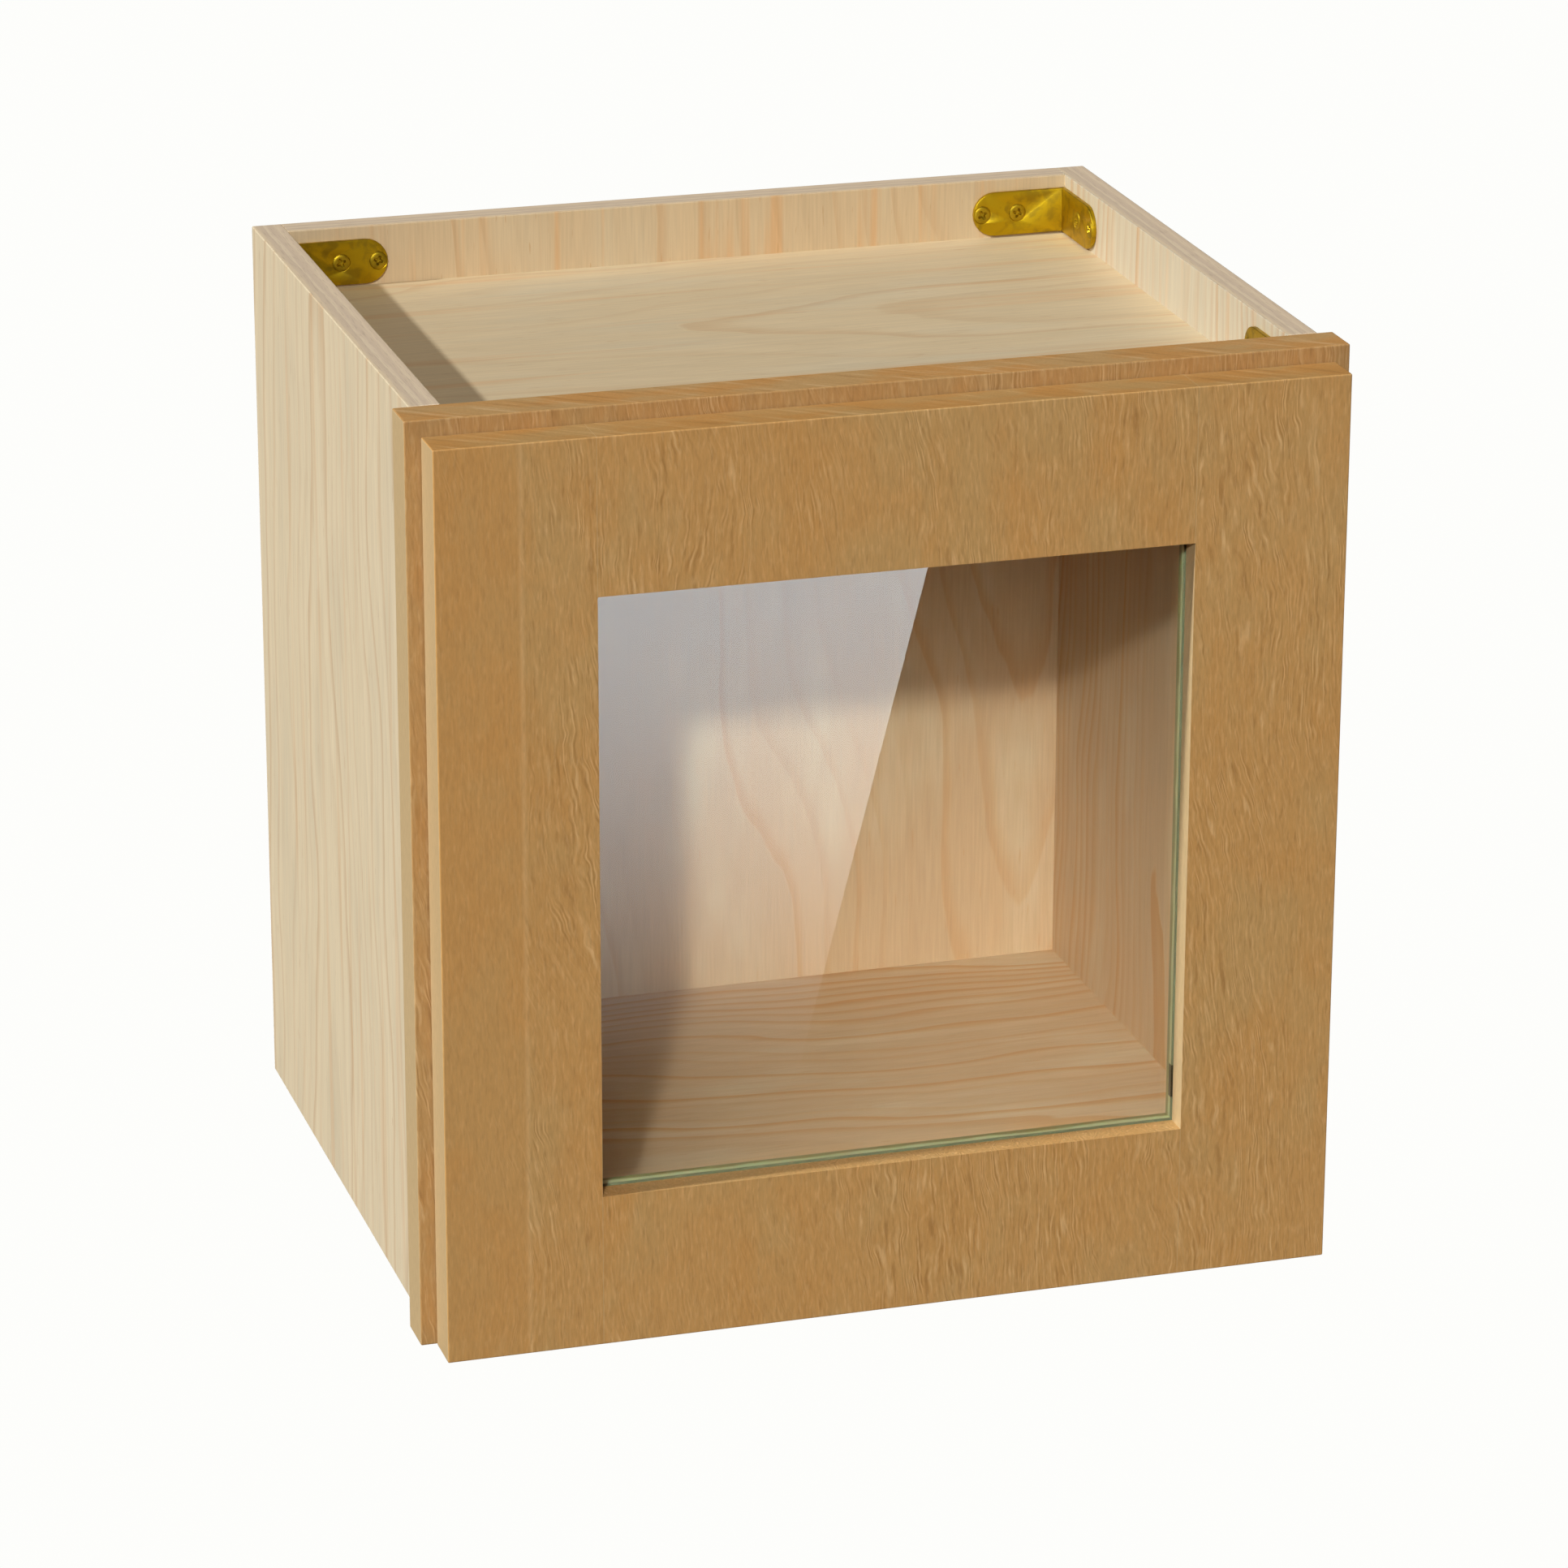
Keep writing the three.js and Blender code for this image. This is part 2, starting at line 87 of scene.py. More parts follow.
class Axis(Enum):
    """An axis of the cabinet's frame."""

    X = 0
    Y = 1
    Z = 2


class Body(Enum):
    """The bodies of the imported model."""

    CABINET = "cabinet"
    LINKS = "hinge_links"
    DOOR = "door"


class Slot(Enum):
    """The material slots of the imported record."""

    PLYWOOD = "carcass_plywood"
    HARDWOOD = "frame_hardwood"
    GLASS = "glass"
    VINYL = "glazing_vinyl"
    BRASS = "brass"
    STEEL = "hinge_steel"
    BUMPER = "bumper_clear"


# ---------------------------------------------------------------- shader nodes


class Value:
    """A number that a node makes, with arithmetic that adds Math nodes."""

    def __init__(self, graph: "Graph", socket: Socket) -> None:
        """Wraps one output socket of the graph."""
        self.graph = graph
        self.socket = socket

    def math(self, operation: str, *operands: "Value | float") -> "Value":
        """What a Math node makes of these operands, in order."""
        made = self.graph.node("ShaderNodeMath", {"operation": operation}, dict(enumerate(operands)))
        return Value(self.graph, made.outputs[0])

    def __add__(self, other: "Value | float") -> "Value":
        """self + other"""
        return self.math("ADD", self, other)

    __radd__ = __add__

    def __sub__(self, other: "Value | float") -> "Value":
        """self - other"""
        return self.math("SUBTRACT", self, other)

    def __rsub__(self, other: float) -> "Value":
        """other - self"""
        return self.math("SUBTRACT", other, self)

    def __mul__(self, other: "Value | float") -> "Value":
        """self * other"""
        return self.math("MULTIPLY", self, other)

    __rmul__ = __mul__

    def __truediv__(self, other: "Value | float") -> "Value":
        """self / other"""
        return self.math("DIVIDE", self, other)

    def __pow__(self, power: float) -> "Value":
        """self ** power"""
        return self.math("POWER", self, power)

    def sine(self) -> "Value":
        """The sine of the value, in radians."""
        return self.math("SINE", self)

    def floor(self) -> "Value":
        """The whole part of the value."""
        return self.math("FLOOR", self)

    def fraction(self) -> "Value":
        """What is left above the whole part."""
        return self.math("FRACT", self)

    def size(self) -> "Value":
        """The value without its sign."""
        return self.math("ABSOLUTE", self)

    def around(self, middle: "Value | float", spread: float) -> "Value":
        """A value around 0.5, moved to lie around a middle and stretched to this spread."""
        return self * spread + (middle - spread / 2)

    def rise(self, low: float, high: float) -> "Value":
        """A smooth step of the value.

        Args:
            low: Where the step starts.
            high: Where it ends; below low, the step falls.

        Returns:
            0 before low, 1 after high, and a smooth turn between.
        """
        settings = {"interpolation_type": "SMOOTHSTEP"}
        if low <= high:
            ends = {"From Min": low, "From Max": high, "To Min": 0.0, "To Max": 1.0}
        else:
            ends = {"From Min": high, "From Max": low, "To Min": 1.0, "To Max": 0.0}
        made = self.graph.node("ShaderNodeMapRange", settings, {"Value": self, **ends})
        return Value(self.graph, made.outputs["Result"])


Place = tuple[Value, Value, Value]


class Graph:
    """The node tree of one material or world, with one method for every kind of node."""

    def __init__(self, name: str, world: bool = False) -> None:
        """Makes an empty material or world.

        Args:
            name: Its name.
            world: Whether it is a world.
        """
        self.owner = (bpy.data.worlds if world else bpy.data.materials).new(name)
        self.owner.use_nodes = True
        self.tree = self.owner.node_tree
        self.tree.nodes.clear()

    def node(
        self,
        kind: str,
        settings: dict[str, Any] | None = None,
        inputs: dict[str | int, Any] | None = None,
    ) -> Node:
        """Adds a node.

        Args:
            kind: The node's type.
            settings: Its properties, set first; "stops" are a ramp's (place, colour) pairs.
            inputs: Values, sockets or wrapped values for its sockets, by name or number.

        Returns:
            The node.
        """
        made = self.tree.nodes.new(kind)
        for key, setting in (settings or {}).items():
            if key == "stops":
                self._set_stops(made.color_ramp, setting)
            else:
                setattr(made, key, setting)
        for key, value in (inputs or {}).items():
            self._plug(made.inputs[key], value)
        return made

    def _plug(self, socket: Socket, value: Any) -> None:
        """Gives an input socket its link or its value.

        Args:
            socket: The input socket.
            value: A wrapped value, an output socket, a number or a colour.
        """
        if isinstance(value, Value):
            value = value.socket
        if isinstance(value, Socket):
            self.tree.links.new(value, socket)
        else:
            socket.default_value = (*value, 1.0) if isinstance(value, tuple) else value

    @staticmethod
    def _set_stops(ramp: bpy.types.ColorRamp, stops: Sequence[tuple[float, Colour]]) -> None:
        """Gives a colour ramp its stops.

        Args:
            ramp: The ramp.
            stops: Places from 0 to 1, each with a colour.
        """
        while len(ramp.elements) < len(stops):
            ramp.elements.new(1.0)
        for element, (place, colour) in zip(ramp.elements, stops):
            element.position = place
            element.color = (*colour, 1.0)

    def place(self) -> Place:
        """Where a point lies in the cabinet's frame.

        Returns:
            Its place along X, Y and Z, in millimetres.
        """
        where = self.node("ShaderNodeTexCoord").outputs["Object"]
        split = self.node("ShaderNodeSeparateXYZ", inputs={0: where})
        return tuple(Value(self, socket) / MM for socket in split.outputs)

    def vector(self, x: Value | float, y: Value | float, z: Value | float) -> Socket:
        """A vector of three values."""
        return self.node("ShaderNodeCombineXYZ", inputs={0: x, 1: y, 2: z}).outputs[0]

    def noise(self, vector: Socket, detail: float = 2.0, distortion: float = 0.0) -> Value:
        """Smooth noise around 0.5 at a place, with its finer layers, pulled about by the distortion."""
        inputs = {"Vector": vector, "Scale": 1.0, "Detail": detail, "Distortion": distortion}
        return Value(self, self.node("ShaderNodeTexNoise", {"noise_dimensions": "3D"}, inputs).outputs[0])

    def chance(self, value: Value) -> Value:
        """A number from 0 to 1 that differs for each whole value."""
        made = self.node("ShaderNodeTexWhiteNoise", {"noise_dimensions": "1D"}, {"W": value})
        return Value(self, made.outputs["Value"])

    def blend(self, factor: Value | float, start: Any, end: Any, kind: str = "MIX") -> Socket:
        """Mixes two colours.

        Args:
            factor: The share of the second colour.
            start: The first colour, or a socket.
            end: The second colour, or a socket.
            kind: How they are mixed.

        Returns:
            The mixed colour's socket.
        """
        settings = {"data_type": "RGBA", "blend_type": kind, "clamp_factor": True}
        inputs = {MIX_FACTOR: factor, MIX_START: start, MIX_END: end}
        return self.node("ShaderNodeMix", settings, inputs).outputs[MIX_RESULT]

    def lay(self, base: Any, *layers: tuple[Value | float, Any]) -> Socket:
        """Lays colours over a base colour.

        Args:
            base: The first colour, or a socket.
            layers: The share and the colour of each layer, in order.

        Returns:
            The last mixed colour's socket.
        """
        for share, colour in layers:
            base = self.blend(share, base, colour)
        return base

    def bump(self, height: Value, distance: float, strength: float = 1.0) -> Socket:
        """A normal pushed about by a height, of which 1 is this distance in metres."""
        inputs = {"Strength": strength, "Distance": distance, "Height": height}
        return self.node("ShaderNodeBump", inputs=inputs).outputs[0]

    def ray(self, output: str) -> Value:
        """What the Light Path node says of the ray that looks."""
        return Value(self, self.node("ShaderNodeLightPath").outputs[output])

    def seen(self) -> Value:
        """1 for a ray straight from the eye, or from the eye through glass, and 0 for all others."""
        straight = (self.ray("Diffuse Depth") + self.ray("Glossy Depth")).rise(0.6, 0.4)
        return self.ray("Is Camera Ray") + self.ray("Is Transmission Ray") * straight

    def mix(self, share: Value, first: Node, second: Node) -> Node:
        """Mixes two shaders by the share of the second."""
        return self.node("ShaderNodeMixShader", inputs={0: share, 1: first.outputs[0], 2: second.outputs[0]})

    def finish(self, shader: Node) -> Material:
        """Puts a shader on the material's surface."""
        self.node("ShaderNodeOutputMaterial", inputs={"Surface": shader.outputs[0]})
        return self.owner

    def dress(self, inputs: dict[str, Any]) -> Material:
        """Puts a Principled shader with these inputs on the material's surface."""
        return self.finish(self.node("ShaderNodeBsdfPrincipled", inputs=inputs))


# ---------------------------------------------------------------- finishes


@dataclass(frozen=True)
class Spot:
    """Where a pattern is read: the material's nodes, the place in millimetres, and the board's seed."""

    graph: Graph
    place: Place
    seed: float = 0.0


@dataclass(frozen=True)
class Pattern:
    """A noise pattern, and how strongly it shows or moves something."""

    scale: Point  # per mm, along the three directions of the place
    detail: float  # how many finer layers it has
    strength: float = 1.0  # its share where it shows in full, or how far it moves something
    start: float = 0.0  # the noise at which it starts to show
    full: float = 1.0  # the noise at which it shows in full
    shift: float = 0.0  # sets it apart from the other patterns
    seeded: bool = True  # whether it differs from board to board

    def noise(self, spot: Spot) -> Value:
        """The pattern's noise.

        Args:
            spot: Where it is read.

        Returns:
            The noise, around 0.5.
        """
        first, second, third = (value * scale if scale else 0.0 for value, scale in zip(spot.place, self.scale))
        offset = self.shift + (spot.seed if self.seeded else 0.0)
        place = spot.graph.vector(first, second, third + offset if offset else third)
        return spot.graph.noise(place, self.detail)

    def share(self, spot: Spot) -> Value:
        """How much of a second colour it lays on, from 0 to its strength."""
        return self.noise(spot).rise(self.start, self.full) * self.strength

    def wander(self, spot: Spot) -> Value:
        """How far it moves something, either way."""
        return (self.noise(spot) - 0.5) * self.strength


class Lie(Enum):
    """How a board lies: the axes across its grain, along its grain and through its thickness."""

    SIDE = (Axis.Y, Axis.Z, Axis.X)
    BACK = (Axis.X, Axis.Z, Axis.Y)
    DECK = (Axis.Y, Axis.X, Axis.Z)


@dataclass(frozen=True)
class Cut:
    """How one board was cut from the log, and how its figure shows."""

    node: str
    lie: Lie
    heart: float  # mm: where across the grain the cathedral figure is centred
    taper: float  # how fast the rings close up along the board
    seed: float
    face_tint: Colour  # of its bare wood: the outer face, and all above the top deck
    lined_high: bool  # whether its lined face is the high one
    lively: float  # the share of its rings that show as lines
    streaky: float  # how much its orange streaks show
    spacing: float = 8.5  # mm between rings
    contrast: float = 0.36  # how dark its rings show

    @property
    def through(self) -> int:
        """The number of the axis through its thickness."""
        return self.lie.value[2].value

    @property
    def start(self) -> float:
        """The board's low face on its through axis, in millimetres."""
        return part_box(self.node)[0][self.through] / MM

    @property
    def thickness(self) -> float:
        """The board's thickness, in millimetres."""
        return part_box(self.node)[1][self.through] / MM - self.start

    @property
    def deck_height(self) -> float:
        """The height below which its lined face is indoors, in millimetres."""
        low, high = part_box("top_deck")
        return (low.z + high.z) / 2 / MM

    def spot(self, graph: Graph) -> Spot:
        """Where the board is read: the place across, along and through it."""
        place = graph.place()
        return Spot(graph, tuple(place[axis.value] for axis in self.lie.value), self.seed)


@dataclass(frozen=True)
class PlywoodFinish:
    """Pale veneered plywood: cathedral figure on its faces and bare plies on its edges."""

    face: Colour = (0.80, 0.665, 0.445)
    # the veneer of the faces inside the box, darkened and reddened with painted shade and bounce light
    lining_with_painted_shade: Colour = (0.57, 0.397, 0.236)
    late_wood: Colour = (0.52, 0.28, 0.11)
    orange: Colour = (0.72, 0.44, 0.21)
    mineral: Colour = (0.70, 0.62, 0.44)
    torn_ply: Colour = (0.46, 0.36, 0.25)
    roughness: float = 0.52
    roughness_spread: float = 0.12
    veneer: float = 0.55  # mm
    glue_line: float = 0.1  # mm
    heart_depth: float = 22.0  # mm from the log's heart to the board
    cupping: float = 0.5  # how fast the rings open through the board
    line_width: float = 4.2  # mm of late wood in a ring
    line_top: float = 0.93  # where in a ring its late wood is darkest
    line_fade: float = 0.95  # where it starts to fade
    faintest: float = 0.1  # how much of its line the quietest ring shows
    indoor_contrast: float = 0.28  # how much darker the rings of the lining show
    indoor_calm: float = 0.85  # how much fewer its streaks are
    fibre_contrast: float = 0.30
    ring_contrast: float = 0.05
    sway: Pattern = Pattern((0.012, 0.006, 0.0), 1.0, strength=46.0)  # mm
    waver: Pattern = Pattern((0.06, 0.013, 0.0), 2.0, strength=7.0, shift=7.0)  # mm
    clouds: Pattern = Pattern((0.035, 0.009, 0.0), 3.0, 0.5, start=0.45, full=0.8, shift=3.0)
    streaks: Pattern = Pattern((0.11, 0.004, 0.0), 2.0, start=0.56, full=0.70, shift=11.0)
    dashes: Pattern = Pattern((0.75, 0.07, 0.0), 2.0, 0.42, start=0.66, full=0.76, shift=19.0)
    fibres: Pattern = Pattern((1.1, 0.035, 1.1), 4.0, seeded=False)
    planing: Pattern = Pattern((0.035, 0.035, 0.7), 3.0, strength=3.2, seeded=False)  # mm
    torn: Pattern = Pattern((0.10, 0.10, 2.2), 4.0, 0.45, start=0.52, full=0.70, seeded=False)
    plies: Sequence[tuple[float, Colour]] = (
        (0.00, (0.88, 0.72, 0.49)),
        (0.10, (0.86, 0.70, 0.48)),
        (0.16, (0.77, 0.63, 0.45)),
        (0.33, (0.73, 0.59, 0.43)),
        (0.38, (0.86, 0.72, 0.51)),
        (0.46, (0.83, 0.68, 0.49)),
        (0.50, (0.74, 0.60, 0.44)),
        (0.68, (0.79, 0.64, 0.46)),
        (0.73, (0.86, 0.71, 0.50)),
        (0.84, (0.83, 0.67, 0.48)),
        (0.88, (0.79, 0.64, 0.46)),
        (1.00, (0.81, 0.65, 0.45)),
    )

    def rings(self, graph: Graph, cut: Cut) -> tuple[Value, Value]:
        """The late-wood lines of the veneer.

        Args:
            graph: The material's nodes.
            cut: The board's cut.

        Returns:
            How dark the line is at a point, and the ring's own chance value.
        """
        spot = cut.spot(graph)
        across, along, through = spot.place
        offset = across - cut.heart + self.sway.wander(spot)
        depth = (through - cut.start) * self.cupping + self.heart_depth
        radius = (offset * offset + depth * depth) ** 0.5
        phase = (radius + along * cut.taper + self.waver.wander(spot)) / cut.spacing + cut.seed
        band = phase.fraction()
        line = band.rise(self.line_top - self.line_width / cut.spacing, self.line_top)
        line = line * band.rise(1.0, self.line_fade)
        luck = graph.chance(phase.floor())
        shown = luck.rise(1.0 - cut.lively, 1.0) * (1.0 - self.faintest) + self.faintest
        return line * shown, luck

    def veneer_colour(self, graph: Graph, cut: Cut) -> tuple[Socket, Value]:
        """The colour of the board's faces.

        Args:
            graph: The material's nodes.
            cut: The board's cut.

        Returns:
            The colour, and the fibre noise that goes with it.
        """
        spot = cut.spot(graph)
        line, luck = self.rings(graph, cut)
        depth = (spot.place[2] - cut.start) / cut.thickness
        lined = depth.rise(0.3, 0.7) if cut.lined_high else depth.rise(0.7, 0.3)
        # inside the box the lined faces take the lining colour with its painted shade and bounce light
        indoors = graph.place()[2].rise(cut.deck_height + 0.5, cut.deck_height - 0.5) * lined
        fibre = self.fibres.noise(spot)
        tone = luck.around(fibre.around(1.0, self.fibre_contrast), self.ring_contrast)
        colour = graph.lay(
            tuple(channel * tint for channel, tint in zip(self.face, cut.face_tint)),
            (indoors, self.lining_with_painted_shade),
            (self.clouds.share(spot), self.mineral),
            (self.streaks.share(spot) * (1.0 - indoors * self.indoor_calm) * cut.streaky, self.orange),
            (line * (indoors * self.indoor_contrast + cut.contrast), self.late_wood),
            (self.dashes.share(spot), self.late_wood),
        )
        return graph.blend(1.0, colour, graph.vector(tone, tone, tone), "MULTIPLY"), fibre

    def ply_colour(self, graph: Graph, cut: Cut) -> Socket:
        """The colour of the bare plies at the board's edges.

        Args:
            graph: The material's nodes.
            cut: The board's cut.

        Returns:
            The colour's socket.
        """
        spot = cut.spot(graph)
        depth = (spot.place[2] - cut.start + self.planing.wander(spot)) / cut.thickness
        bands = graph.node("ShaderNodeValToRGB", {"stops": self.plies}, {0: depth}).outputs[0]
        return graph.blend(self.torn.share(spot), bands, self.torn_ply)

    def material(self, name: str, cut: Cut) -> Material:
        """The board's material.

        Args:
            name: The material's name.
            cut: The board's cut.

        Returns:
            The material.
        """
        graph = Graph(name)
        veneer, fibre = self.veneer_colour(graph, cut)
        half = cut.thickness / 2
        from_middle = (cut.spot(graph).place[2] - (cut.start + half)).size()
        skin = from_middle.rise(half - self.veneer, half - self.veneer + self.glue_line)
        return graph.dress(
            {
                "Base Color": graph.blend(skin, self.ply_colour(graph, cut), veneer),
                "Roughness": fibre.around(self.roughness, self.roughness_spread),
                "Normal": graph.bump(fibre, 0.00004, 0.4),
                "Specular IOR Level": WOOD_SPECULAR,
            }
        )


@dataclass(frozen=True)
class HardwoodFinish:
    """Honey-coloured hardwood with a fine, wavy, closely packed figure."""

    honey: Colour = (0.66, 0.375, 0.128)
    olive: Colour = (0.63, 0.388, 0.145)
    amber: Colour = (0.67, 0.345, 0.10)
    light: Colour = (0.95, 0.66, 0.32)
    dark: Colour = (0.33, 0.155, 0.04)
    # the colour of the upright edges: a painted sheen of the light that glances off them
    pale: Colour = (0.66, 0.485, 0.25)
    tint: Colour = (1.0, 1.0, 1.0)
    seed: float = 0.0
    warmth: float = 0.4  # how strongly its amber patches show
    roughness: float = 0.5
    roughness_spread: float = 0.14
    stave_edge: float = -150.5  # mm: a glued joint; the stave beyond it is plainer
    sheen_edges: tuple[float, ...] = (184.15, 120.65)  # mm: upright edges painted pale, a painted sheen
    sheen_share: float = 0.92
    top: float = 184.15  # mm: the top edge
    top_tone: float = 0.88
    top_slant: float = 15 / 11  # how far the lines of the top lean
    lean: float = 0.12  # mm that the grain leans across for each mm along
    lines_per_mm: float = 0.46
    crest: Span = (0.25, 0.95)  # where on a wave its light line starts and is full
    trough: Span = (-0.3, -0.95)
    fine_light: Span = (0.56, 0.72)
    fine_dark: Span = (0.44, 0.30)
    light_share: float = 0.50
    dark_share: float = 0.42
    seam_share: float = 0.22
    stave_calm: float = 0.72
    stave_amber: float = 0.3
    fibre_contrast: float = 0.12
    grain_contrast: float = 0.30
    drift: Pattern = Pattern((0.013, 0.02, 0.0075), 1.0, strength=40.0)  # mm
    curl: Pattern = Pattern((0.11, 0.09, 0.085), 1.5, strength=4.2)  # mm
    spread: Pattern = Pattern((0.09, 0.05, 0.004), 2.0, strength=16.0, seeded=False)  # lines
    breaks: Pattern = Pattern((0.42, 0.4, 0.07), 3.0, start=0.42, full=0.66)
    bundles: Pattern = Pattern((0.03, 0.03, 0.011), 2.0, 0.85, start=0.42, full=0.62, shift=5.0)
    fine: Pattern = Pattern((0.95, 0.5, 0.06), 2.0, strength=0.35, seeded=False)
    clouds: Pattern = Pattern((0.032, 0.03, 0.018), 4.0, start=0.40, full=0.62)
    patches: Pattern = Pattern((0.06, 0.03, 0.02), 4.0, start=0.46, full=0.72, shift=9.0)
    pores: Pattern = Pattern((0.75, 0.75, 0.10), 4.0, 0.30, start=0.55, full=0.75)
    flecks: Pattern = Pattern((0.8, 0.8, 0.15), 4.0, 0.26, start=0.50, full=0.74, shift=21.0)
    fibres: Pattern = Pattern((3.4, 3.4, 0.16), 2.0, seeded=False)
    grain: Pattern = Pattern((0.95, 0.95, 0.24), 4.0)
    top_clouds: Pattern = Pattern((0.03, 0.06, 0.0), 3.0, start=0.38, full=0.62)
    top_light: Pattern = Pattern((0.22, 0.05, 0.0), 4.0, 0.40, start=0.54, full=0.70, shift=4.0)
    top_dark: Pattern = Pattern((0.22, 0.05, 0.0), 4.0, 0.35, start=0.46, full=0.30, shift=4.0)

    def figure(self, spot: Spot) -> tuple[Value, Value]:
        """The light and the dark side of the wavy lines.

        Args:
            spot: Where they are read.

        Returns:
            The strength of the light lines and of the dark lines, from 0 to 1.
        """
        x, y, z = spot.place
        across = x + self.drift.wander(spot) + self.curl.wander(spot) + z * self.lean
        bent = Spot(spot.graph, (across, y, z), spot.seed)
        spread = self.spread.noise(bent) * self.spread.strength
        wave = ((across * self.lines_per_mm + spread) * math.tau).sine()
        strength = self.breaks.share(bent) * (self.bundles.share(spot) + (1.0 - self.bundles.strength))
        fine = self.fine.noise(bent)
        light = wave.rise(*self.crest) * strength + fine.rise(*self.fine_light) * self.fine.strength
        dark = wave.rise(*self.trough) * strength + fine.rise(*self.fine_dark) * self.fine.strength
        return light, dark

    def top_colour(self, spot: Spot) -> Socket:
        """The colour of the top edges, with short slanting lines across them.

        Args:
            spot: Where it is read.

        Returns:
            The colour's socket.
        """
        x, y, z = spot.place
        slanted = Spot(spot.graph, (x + y * self.top_slant, y, z), spot.seed)
        colour = spot.graph.lay(
            self.olive,
            (self.top_clouds.share(spot), self.amber),
            (self.top_light.share(slanted), self.light),
            (self.top_dark.share(slanted) + 0.1, self.dark),
        )
        return spot.graph.blend(1.0, colour, (self.top_tone,) * 3, "MULTIPLY")

    def colour(self, spot: Spot, light: Value, dark: Value) -> Socket:
        """The colour of the boards, with their top edges and a painted sheen on their upright edges.

        Args:
            spot: Where it is read.
            light: The strength of the light lines.
            dark: The strength of the dark lines.

        Returns:
            The colour's socket.
        """
        x, _, z = spot.place
        stave = x.rise(self.stave_edge + 0.6, self.stave_edge - 0.6)
        seam = (x - self.stave_edge).size().rise(1.6, 0.2)
        calm = 1.0 - stave * self.stave_calm
        shown = calm * 0.5 + 0.5
        # upright edges turn pale: a painted sheen
        edges = sum((x.size() - edge).size().rise(SKIN_INNER, SKIN_OUTER) for edge in self.sheen_edges)
        return spot.graph.lay(
            self.honey,
            (self.clouds.share(spot), self.olive),
            (self.patches.share(spot) * self.warmth, self.amber),
            (stave * self.stave_amber, self.amber),
            (light * calm * self.light_share + seam * self.seam_share, self.light),
            (dark * calm * self.dark_share, self.dark),
            (self.pores.share(spot) * shown, self.dark),
            (self.flecks.share(spot) * shown, self.light),
            (z.rise(self.top - SKIN_INNER, self.top - SKIN_OUTER), self.top_colour(spot)),
            (edges * self.sheen_share, self.pale),
        )

    def material(self, name: str) -> Material:
        """The hardwood's material.

        Args:
            name: The material's name.

        Returns:
            The material.
        """
        graph = Graph(name)
        spot = Spot(graph, graph.place(), self.seed)
        light, dark = self.figure(spot)
        fibre = self.fibres.noise(spot)
        tone = self.grain.noise(spot).around(fibre.around(1.0, self.fibre_contrast), self.grain_contrast)
        shade = graph.vector(*(tone * channel for channel in self.tint))
        return graph.dress(
            {
                "Base Color": graph.blend(1.0, self.colour(spot, light, dark), shade, "MULTIPLY"),
                "Roughness": fibre.around(self.roughness, self.roughness_spread),
                "Normal": graph.bump(light * 0.5 + fibre * 0.5, 0.00003, 0.5),
                "Specular IOR Level": WOOD_SPECULAR,
            }
        )


@dataclass(frozen=True)
class BrushedMetal:
    """Brushed metal, with fine scratches one way, tarnish in clouds and duller patches."""

    colour: Colour
    tarnish: Colour
    tarnish_share: float
    roughness: float
    brushed_along: Axis = Axis.Z
    along_scale: float = 0.08
    across_scale: float = 9.0
    cloud_scale: float = 0.16
    scratch_roughness: float = 0.16
    cloud_roughness: float = 0.14
    scratch: float = 0.00003  # m deep

    def material(self, name: str) -> Material:
        """The metal's material.

        Args:
            name: The material's name.

        Returns:
            The material.
        """
        graph = Graph(name)
        place = graph.place()
        scales = (self.along_scale if axis is self.brushed_along else self.across_scale for axis in Axis)
        scratches = graph.noise(graph.vector(*(value * scale for value, scale in zip(place, scales))), 3.0)
        clouds = graph.noise(graph.vector(*(value * self.cloud_scale for value in place)), 4.0, distortion=0.6)
        stain = clouds.rise(0.44, 0.66) * self.tarnish_share
        dulled = clouds.around(self.roughness, self.cloud_roughness)
        return graph.dress(
            {
                "Base Color": graph.blend(stain, self.colour, self.tarnish),
                "Metallic": 1.0,
                "Roughness": scratches.around(dulled, self.scratch_roughness),
                "Normal": graph.bump(scratches, self.scratch, 0.7),
            }
        )


@dataclass(frozen=True)
class ClearGlass:
    """Float glass with a faint green tint, clear through its faces. It lets the lamps' light through."""

    tint: Colour = (0.985, 0.995, 0.985)
    let_through: Colour = (0.93, 0.95, 0.93)
    roughness: float = 0.0
    ior: float = 1.5

    def material(self, name: str) -> Material:
        """The pane's material.

        Args:
            name: The material's name.

        Returns:
            The material.
        """
        graph = Graph(name)
        look = {"Base Color": self.tint, "Roughness": self.roughness, "IOR": self.ior}
        body = graph.node("ShaderNodeBsdfPrincipled", inputs={**look, "Transmission Weight": 1.0})
        open_air = graph.node("ShaderNodeBsdfTransparent", inputs={"Color": self.let_through})
        return graph.finish(graph.mix(graph.ray("Is Shadow Ray"), body, open_air))


